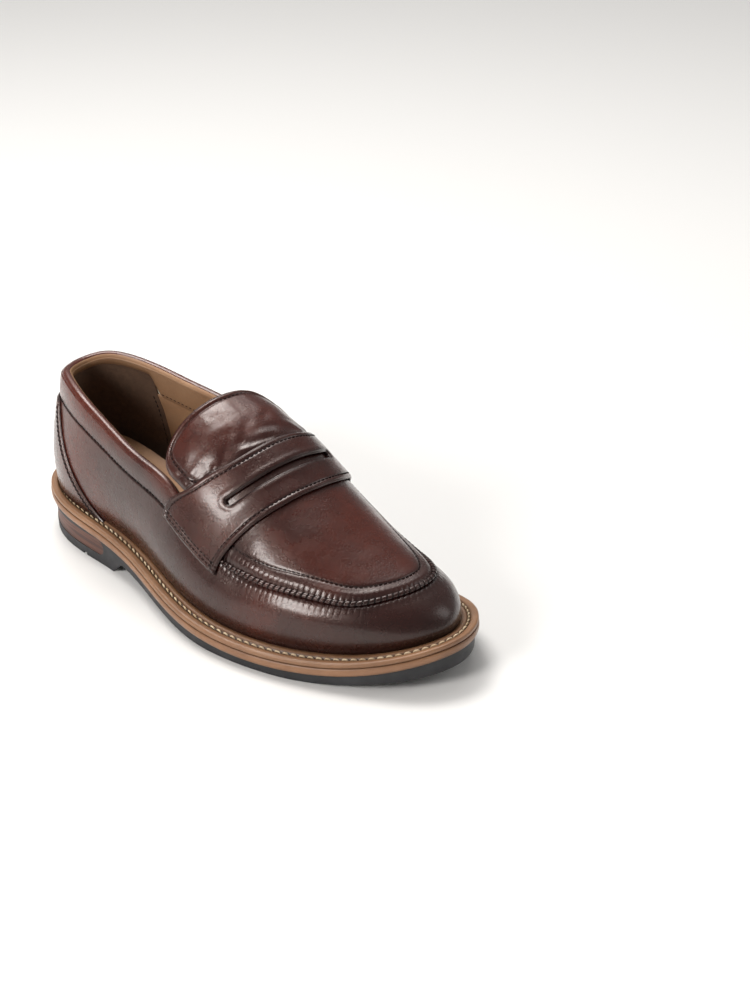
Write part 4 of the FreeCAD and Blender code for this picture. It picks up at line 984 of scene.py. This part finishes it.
# dark edge is real edge dye; painted shade in the stitch groove and where the tongue runs under the strap
burnish_and_shade = 0.75 * np.exp(-gap / 1.2) + 0.4 * np.exp(-((gap - 3.4) / 1.2) ** 2)
burnish_and_shade = burnish_and_shade + 0.55 * np.exp(-np.maximum(back_of_strap, 0) / 2.5)
warm = 0.35 + 0.4 * smooth(back_of_strap, 4, 20)
tongue = grid_sheet("Tongue", over_instep(a, x, lift), over_instep(a, x, -0.5), "burgundy_leather",
                    {"burnish_and_shade": np.clip(burnish_and_shade, 0, 1), "warm": warm}, body=None, nodes=["tongue"])
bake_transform(tongue)

under = tongue_plan(1.0)
a, x = under[..., 0], under[..., 1]
tongue_under = grid_sheet("Tongue_lining", over_instep(a, x, -0.55), over_instep(a, x, -1.5), "tan_lining",
                          body=None, nodes=["tongue_lining"])
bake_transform(tongue_under)

t = np.linspace(5.9, 14.15, 900)
line = tongue_line(t)
line = line - 3.2 * unit(line - np.array([153.0, 0.0]))
behind = rear_line(np.clip(line[:, 1], -46, 46)) - line[:, 0]
line = line[behind > 0.8]
behind = behind[behind > 0.8]
row_lift = 1.0 - 0.45 + 1.3 * smooth(behind, 4, 22) * 0.72
tongue_row = stitch_row("Tongue_stitches", over_instep(line[:, 0], line[:, 1], row_lift + 0.12),
                        instep_up(line[:, 0], line[:, 1]), "dark_thread", 2.5, 1.9, 0.30, body=None,
                        nodes=["tongue_stitching"])
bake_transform(tongue_row)


# ------------------------------------------------------------------ lining inside the upper
def lining_depth(u, v):
    share = smooth(v, 0.62, 0.86) * np.clip(roll_share(u), 0, 1)
    return 2.9 + 1.3 * share


def lining(name, first, last, rows, columns, material, nodes):
    """first and last give the loop parameter of each side edge at every height."""
    v = np.asarray(rows)[None]
    t = np.linspace(0, 1, columns)[:, None]
    u = first(v) * (1 - t) + last(v) * t
    depth = lining_depth(u, v)
    swell = 0.12 * ripple(wall(u, v), 24, 8)
    front, back = skin(u, v, depth + 0.9 + swell), skin(u, v, depth)
    # painted shade: the whole lining darkened inside the shoe, more towards the bottom
    burnish_and_shade = 0.65 + 0.2 * (1 - smooth(v, 0, 0.2)) + 0 * u
    return grid_sheet(name, front, back, material, {"burnish_and_shade": burnish_and_shade}, nodes=nodes)


def hold(value):
    return lambda v: np.full_like(v, value)


def grip_edge(inner):
    """The suede's front edge sweeps forward towards the bottom."""
    top, low = station(54, inner), station(80, inner)
    top, low = (top - 1, low - 1) if inner else (top, low)
    return lambda v: top + (low - top) * (1 - smooth(v, -0.1, 0.95)) ** 0.9


U_LINE_OUT, U_LINE_IN = station(164, False), station(164, True)
lining("Heel_grip", grip_edge(True), grip_edge(False), np.linspace(0, 0.97, steps(90)), steps(260),
       "brown_suede", ["heel_grip"])
lining("Quarter_lining_outer", lambda v: grip_edge(False)(v) + TURN, hold(U_LINE_OUT),
       np.linspace(0, 0.79, steps(60)), steps(200), "tan_lining", ["quarter_lining_outer"])
lining("Quarter_lining_inner", hold(U_LINE_IN - 1), lambda v: grip_edge(True)(v) - TURN,
       np.linspace(0, 0.79, steps(60)), steps(200), "tan_lining", ["quarter_lining_inner"])
lining("Vamp_lining", hold(U_LINE_OUT + TURN), hold(U_LINE_IN - TURN), np.linspace(0, 0.95, steps(40)),
       steps(200), "textile_lining", ["vamp_lining"])


def collar_band(name, first, last, columns, low):
    """Band down from the rolled top: over the inside of the roll, then down the lining."""
    u = np.linspace(first, last, columns)[:, None]
    low = low + 0.165 * (1 - smooth(outline(np.mod(u, 1))[..., 0], 50, 62))
    t = np.linspace(0, 1, steps(40))[None]
    v = np.concatenate([np.linspace(1.62, 1.98, steps(16))[None] + 0 * u, 1.0 + (low - 1.0) * t], 1)
    rolled = (v > 1.01)
    share = np.clip(roll_share(u), 0, 1)
    deep = 2 * ROLL * share + (lining_depth(u, v) + 0.9) * (1 - share)
    deep = deep * smooth(v, 0.80, 0.98) + (lining_depth(u, v) + 1.15) * (1 - smooth(v, 0.80, 0.98))
    deep = deep + 0.8 * np.sin(math.pi * np.clip((v - low) / (1.02 - low), 0, 1)) * share
    depth = np.where(rolled, 0.30 * (1 - smooth(v, 1.66, 1.74)), deep)
    front = skin(u, v, depth)
    back = skin(u, v, np.where(rolled, 1.1, lining_depth(u, v) + 0.2))
    height = np.interp(np.mod(u, 1), many, HEIGHT)
    # painted shade: band darkened inside the shoe, most at its lower seam, less on the rolled top
    burnish_and_shade = 0.68 + 0.3 * np.exp(-np.abs(v - low) * height / 1.2) - 0.45 * rolled
    return grid_sheet(name, front, back, "tan_lining", {"burnish_and_shade": burnish_and_shade}, nodes=["collar_lining"])


collar_band("Collar_band", station(150, True) - 1, station(150, False), steps(700), 0.785)
for side, ends in (("outer", (station(60, False), station(148, False))),
                   ("inner", (station(148, True), station(60, True)))):
    u = np.linspace(*ends, 400)
    stitch_row("Collar_band_stitches_" + side, skin(u, 0.815, lining_depth(u, 0.815) + 1.25),
               inward_normal(u, 0.815), "dark_thread", 2.8, 2.2, 0.28, nodes=["collar_lining"])
for side in (True, False):
    v = np.linspace(0.04, 0.76, 120)
    u = grip_edge(side)(v) + (0.006 if side else -0.006)
    stitch_row("Heel_grip_stitches_" + ("inner" if side else "outer"), skin(u, v, lining_depth(u, v) + 0.95),
               inward_normal(u, v), "dark_thread", 2.8, 2.2, 0.26, nodes=["heel_grip"])


# ------------------------------------------------------------------ leather sock
def footbed_top(a):
    share = smooth(a, 60, 200)
    return shelf(a) + 2.0 + 9.0 * (1 - share) + 5.0 * share


def at_inset(u, distance):
    return inset(u, np.full_like(u, distance))


SOCK = 13.2
heel_out, heel_in = station(42, False), station(42, True) - 1
toe_out, toe_in = station(250, False), station(250, True)
m, n = steps(160), steps(320)
rear = at_inset(np.linspace(heel_out, heel_in, m), SOCK)
rear[:, 0] += 0.5 * np.sin(np.linspace(0, 17, m)) + 0.35 * np.sin(np.linspace(1, 41, m))
ahead = at_inset(np.linspace(toe_out, toe_in, m), SOCK)
outer = at_inset(np.linspace(heel_out, toe_out, n), SOCK)
inner = at_inset(np.linspace(heel_in + 1, toe_in, n), SOCK)
plan = coons(resample(rear, m), resample(ahead, m), resample(outer, n), resample(inner, n))
a, x = plan[..., 0], plan[..., 1]
border = at_inset(np.linspace(0, 1, 500), SOCK)
gap = np.concatenate([np.linalg.norm(part[..., None, :] - border, axis=-1).min(-1)
                      for part in np.array_split(plan, 12)])
cup = 2.6 * np.exp(-gap / 3.5) - 0.6 * np.exp(-(((a - 40) / 30) ** 2 + ((x - 1) / 16) ** 2))
z = footbed_top(a) + 1.2 + 4.5 * (1 - smooth(a, 60, 130)) + cup
point = np.stack([a, x, z], -1)
point[..., 2] += 0.18 * ripple(point, 22, 4)
# painted shade along the sock's edge against the walls
grid_sheet("Leather_sock", point, point - np.array([0, 0, 1.1]), "tan_lining",
           {"burnish_and_shade": 0.25 * np.exp(-gap / 1.5)}, nodes=["sock_liner"])


# ------------------------------------------------------------------ welt, midsole and stitching
def ring(name, profile, material, nodes, marks=None, count=1500):
    """Closed band round the sole: profile gives (inset, height over the shelf, burnish_and_shade), the last
    being painted shade in channels, joints and hidden faces.
    """
    profile = np.array(profile)
    u = np.linspace(0, 1, steps(count), endpoint=False)[:, None]
    flat = inset(u + 0 * profile[None, :, 0], profile[None, :, 0] + 0 * u)
    z = shelf(flat[..., 0]) + profile[None, :, 1]
    points = np.concatenate([flat, z[..., None]], -1)
    n, m = points.shape[:2]
    i, j = np.meshgrid(np.arange(n), np.arange(m), indexing="ij")
    quads = np.stack([i * m + j, (i + 1) % n * m + j, (i + 1) % n * m + (j + 1) % m, i * m + (j + 1) % m], -1)
    quads = quads.reshape(-1, 4)
    v = points.reshape(-1, 3)
    volume = (np.cross(v[quads[:, 0]], v[quads[:, 1]]) * v[quads[:, 2]]).sum() + (
        np.cross(v[quads[:, 0]], v[quads[:, 2]]) * v[quads[:, 3]]).sum()
    burnish_and_shade = np.repeat(profile[None, :, 2], n, 0)
    return build(name, v, quads if volume > 0 else quads[:, ::-1], material, {"burnish_and_shade": burnish_and_shade}, nodes=nodes)


def soften(profile, rounds=2):
    """Corner cutting on a closed profile, keeping its broad shape."""
    p = np.array(profile, float)
    for _ in range(rounds):
        q = np.roll(p, -1, 0)
        p = np.stack([0.78 * p + 0.22 * q, 0.22 * p + 0.78 * q], 1).reshape(-1, p.shape[1])
    return p


# third column: painted shade in the stitch channel, at the bottom joint and where the welt meets the upper
welt_profile = [(0.9, -3.0, 0.6), (0.25, -2.7, 0.3), (0.05, -1.6, 0.0), (0.25, -0.45, 0.0), (1.1, 0.05, 0.0),
                (2.4, 0.1, 0.0), (3.5, 0.05, 0.1), (4.0, -0.3, 0.6), (4.5, -0.85, 1.0), (5.2, -0.95, 1.0),
                (5.9, -0.8, 1.0), (6.3, -0.2, 0.6), (6.9, 0.25, 0.15), (7.7, 0.45, 0.1), (8.7, 0.4, 0.3),
                (9.8, 0.15, 0.8), (11.5, 0.05, 1.0), (11.5, -3.0, 1.0)]
ring("Welt", soften(welt_profile), "welt_tan", ["welt"])
# third column: painted shade at the joints with the outsole and the welt and on hidden faces
mid_profile = [(1.4, -8.0, 1.0), (0.7, -7.85, 0.9), (0.1, -7.2, 0.15), (-0.25, -5.9, 0.0), (-0.25, -4.6, 0.0),
               (0.05, -3.5, 0.1), (0.8, -3.02, 0.9), (14, -3.05, 1.0), (14, -8.0, 1.0)]
ring("Midsole_band", soften(mid_profile), "midsole_tan", ["midsole"])
u = np.linspace(0, 1, 4000)
line = inset(u, np.full_like(u, 5.2))
path = np.concatenate([line, (shelf(line[:, 0]) - 0.55)[:, None]], 1)
stitch_row("Welt_stitches", path, np.tile([0.0, 0.0, 1.0], (len(u), 1)), "cream_thread",
           4.5, 3.4, 0.52, rise=0.36, sink=0.5, slant=0.25, nodes=["welt_stitching"])


# ------------------------------------------------------------------ stage, camera and light
scene = bpy.context.scene
scene.view_settings.view_transform = "Standard"
stage_mesh = bpy.data.meshes.new("Floor")
stage_mesh.from_pydata([(-8, -8, 0), (8, -8, 0), (8, 8, 0), (-8, 8, 0)], [], [(0, 1, 2, 3)])
floor = bpy.data.objects.new("Floor", stage_mesh)
collection.objects.link(floor)
floor_look = bpy.data.materials.new("pale_floor")
floor_look.use_nodes = True
floor_look.node_tree.nodes["Principled BSDF"].inputs["Base Color"].default_value = rgb(0.86, 0.85, 0.835)
floor_look.node_tree.nodes["Principled BSDF"].inputs["Roughness"].default_value = 0.65
floor_look.node_tree.nodes["Principled BSDF"].inputs["Specular IOR Level"].default_value = 0.15
stage_mesh.materials.append(floor_look)

world = bpy.data.worlds.new("World")
scene.world = world
world.use_nodes = True
world.node_tree.nodes["Background"].inputs["Color"].default_value = rgb(1.0, 0.985, 0.965)
world.node_tree.nodes["Background"].inputs["Strength"].default_value = 0.27

CENTRE = (CAD_LOW + CAD_HIGH) / 2


def softbox(name, place, target, width, depth, power, colour=(1, 1, 1)):
    light = bpy.data.lights.new(name, "AREA")
    light.shape, light.size, light.size_y = "RECTANGLE", width, depth
    light.energy, light.color = power, colour
    obj = bpy.data.objects.new(name, light)
    obj.location = place
    obj.rotation_euler = (Vector(target) - Vector(place)).to_track_quat("-Z", "Y").to_euler()
    collection.objects.link(obj)


softbox("Overhead", (0.15, 0.55, 1.35), CENTRE, 0.75, 0.45, 13, (1.0, 0.985, 0.96))
softbox("Left_side", (-1.25, 0.15, 0.75), CENTRE, 0.5, 0.45, 14, (1.0, 0.98, 0.96))
softbox("Front_right", (0.9, -1.1, 0.9), CENTRE, 0.6, 0.9, 3)
sky = bpy.data.lights.new("Studio_ceiling", "SUN")
sky.energy, sky.angle = 0.95, math.radians(55)
ceiling = bpy.data.objects.new("Studio_ceiling", sky)
ceiling.rotation_euler = Vector((0.28, 0.42, 0.86)).to_track_quat("Z", "Y").to_euler()
collection.objects.link(ceiling)

camera_data = bpy.data.cameras.new("Camera")
camera_data.lens, camera_data.sensor_width = 64.8, 36
camera_data.clip_start, camera_data.clip_end = 0.05, 50
camera = bpy.data.objects.new("Camera", camera_data)
camera.location = (-0.5968, -0.5914, 0.5114)
camera.rotation_euler = (Vector((0.1225, 0.0090, 0.0)) - camera.location).to_track_quat("-Z", "Y").to_euler()
collection.objects.link(camera)
scene.camera = camera
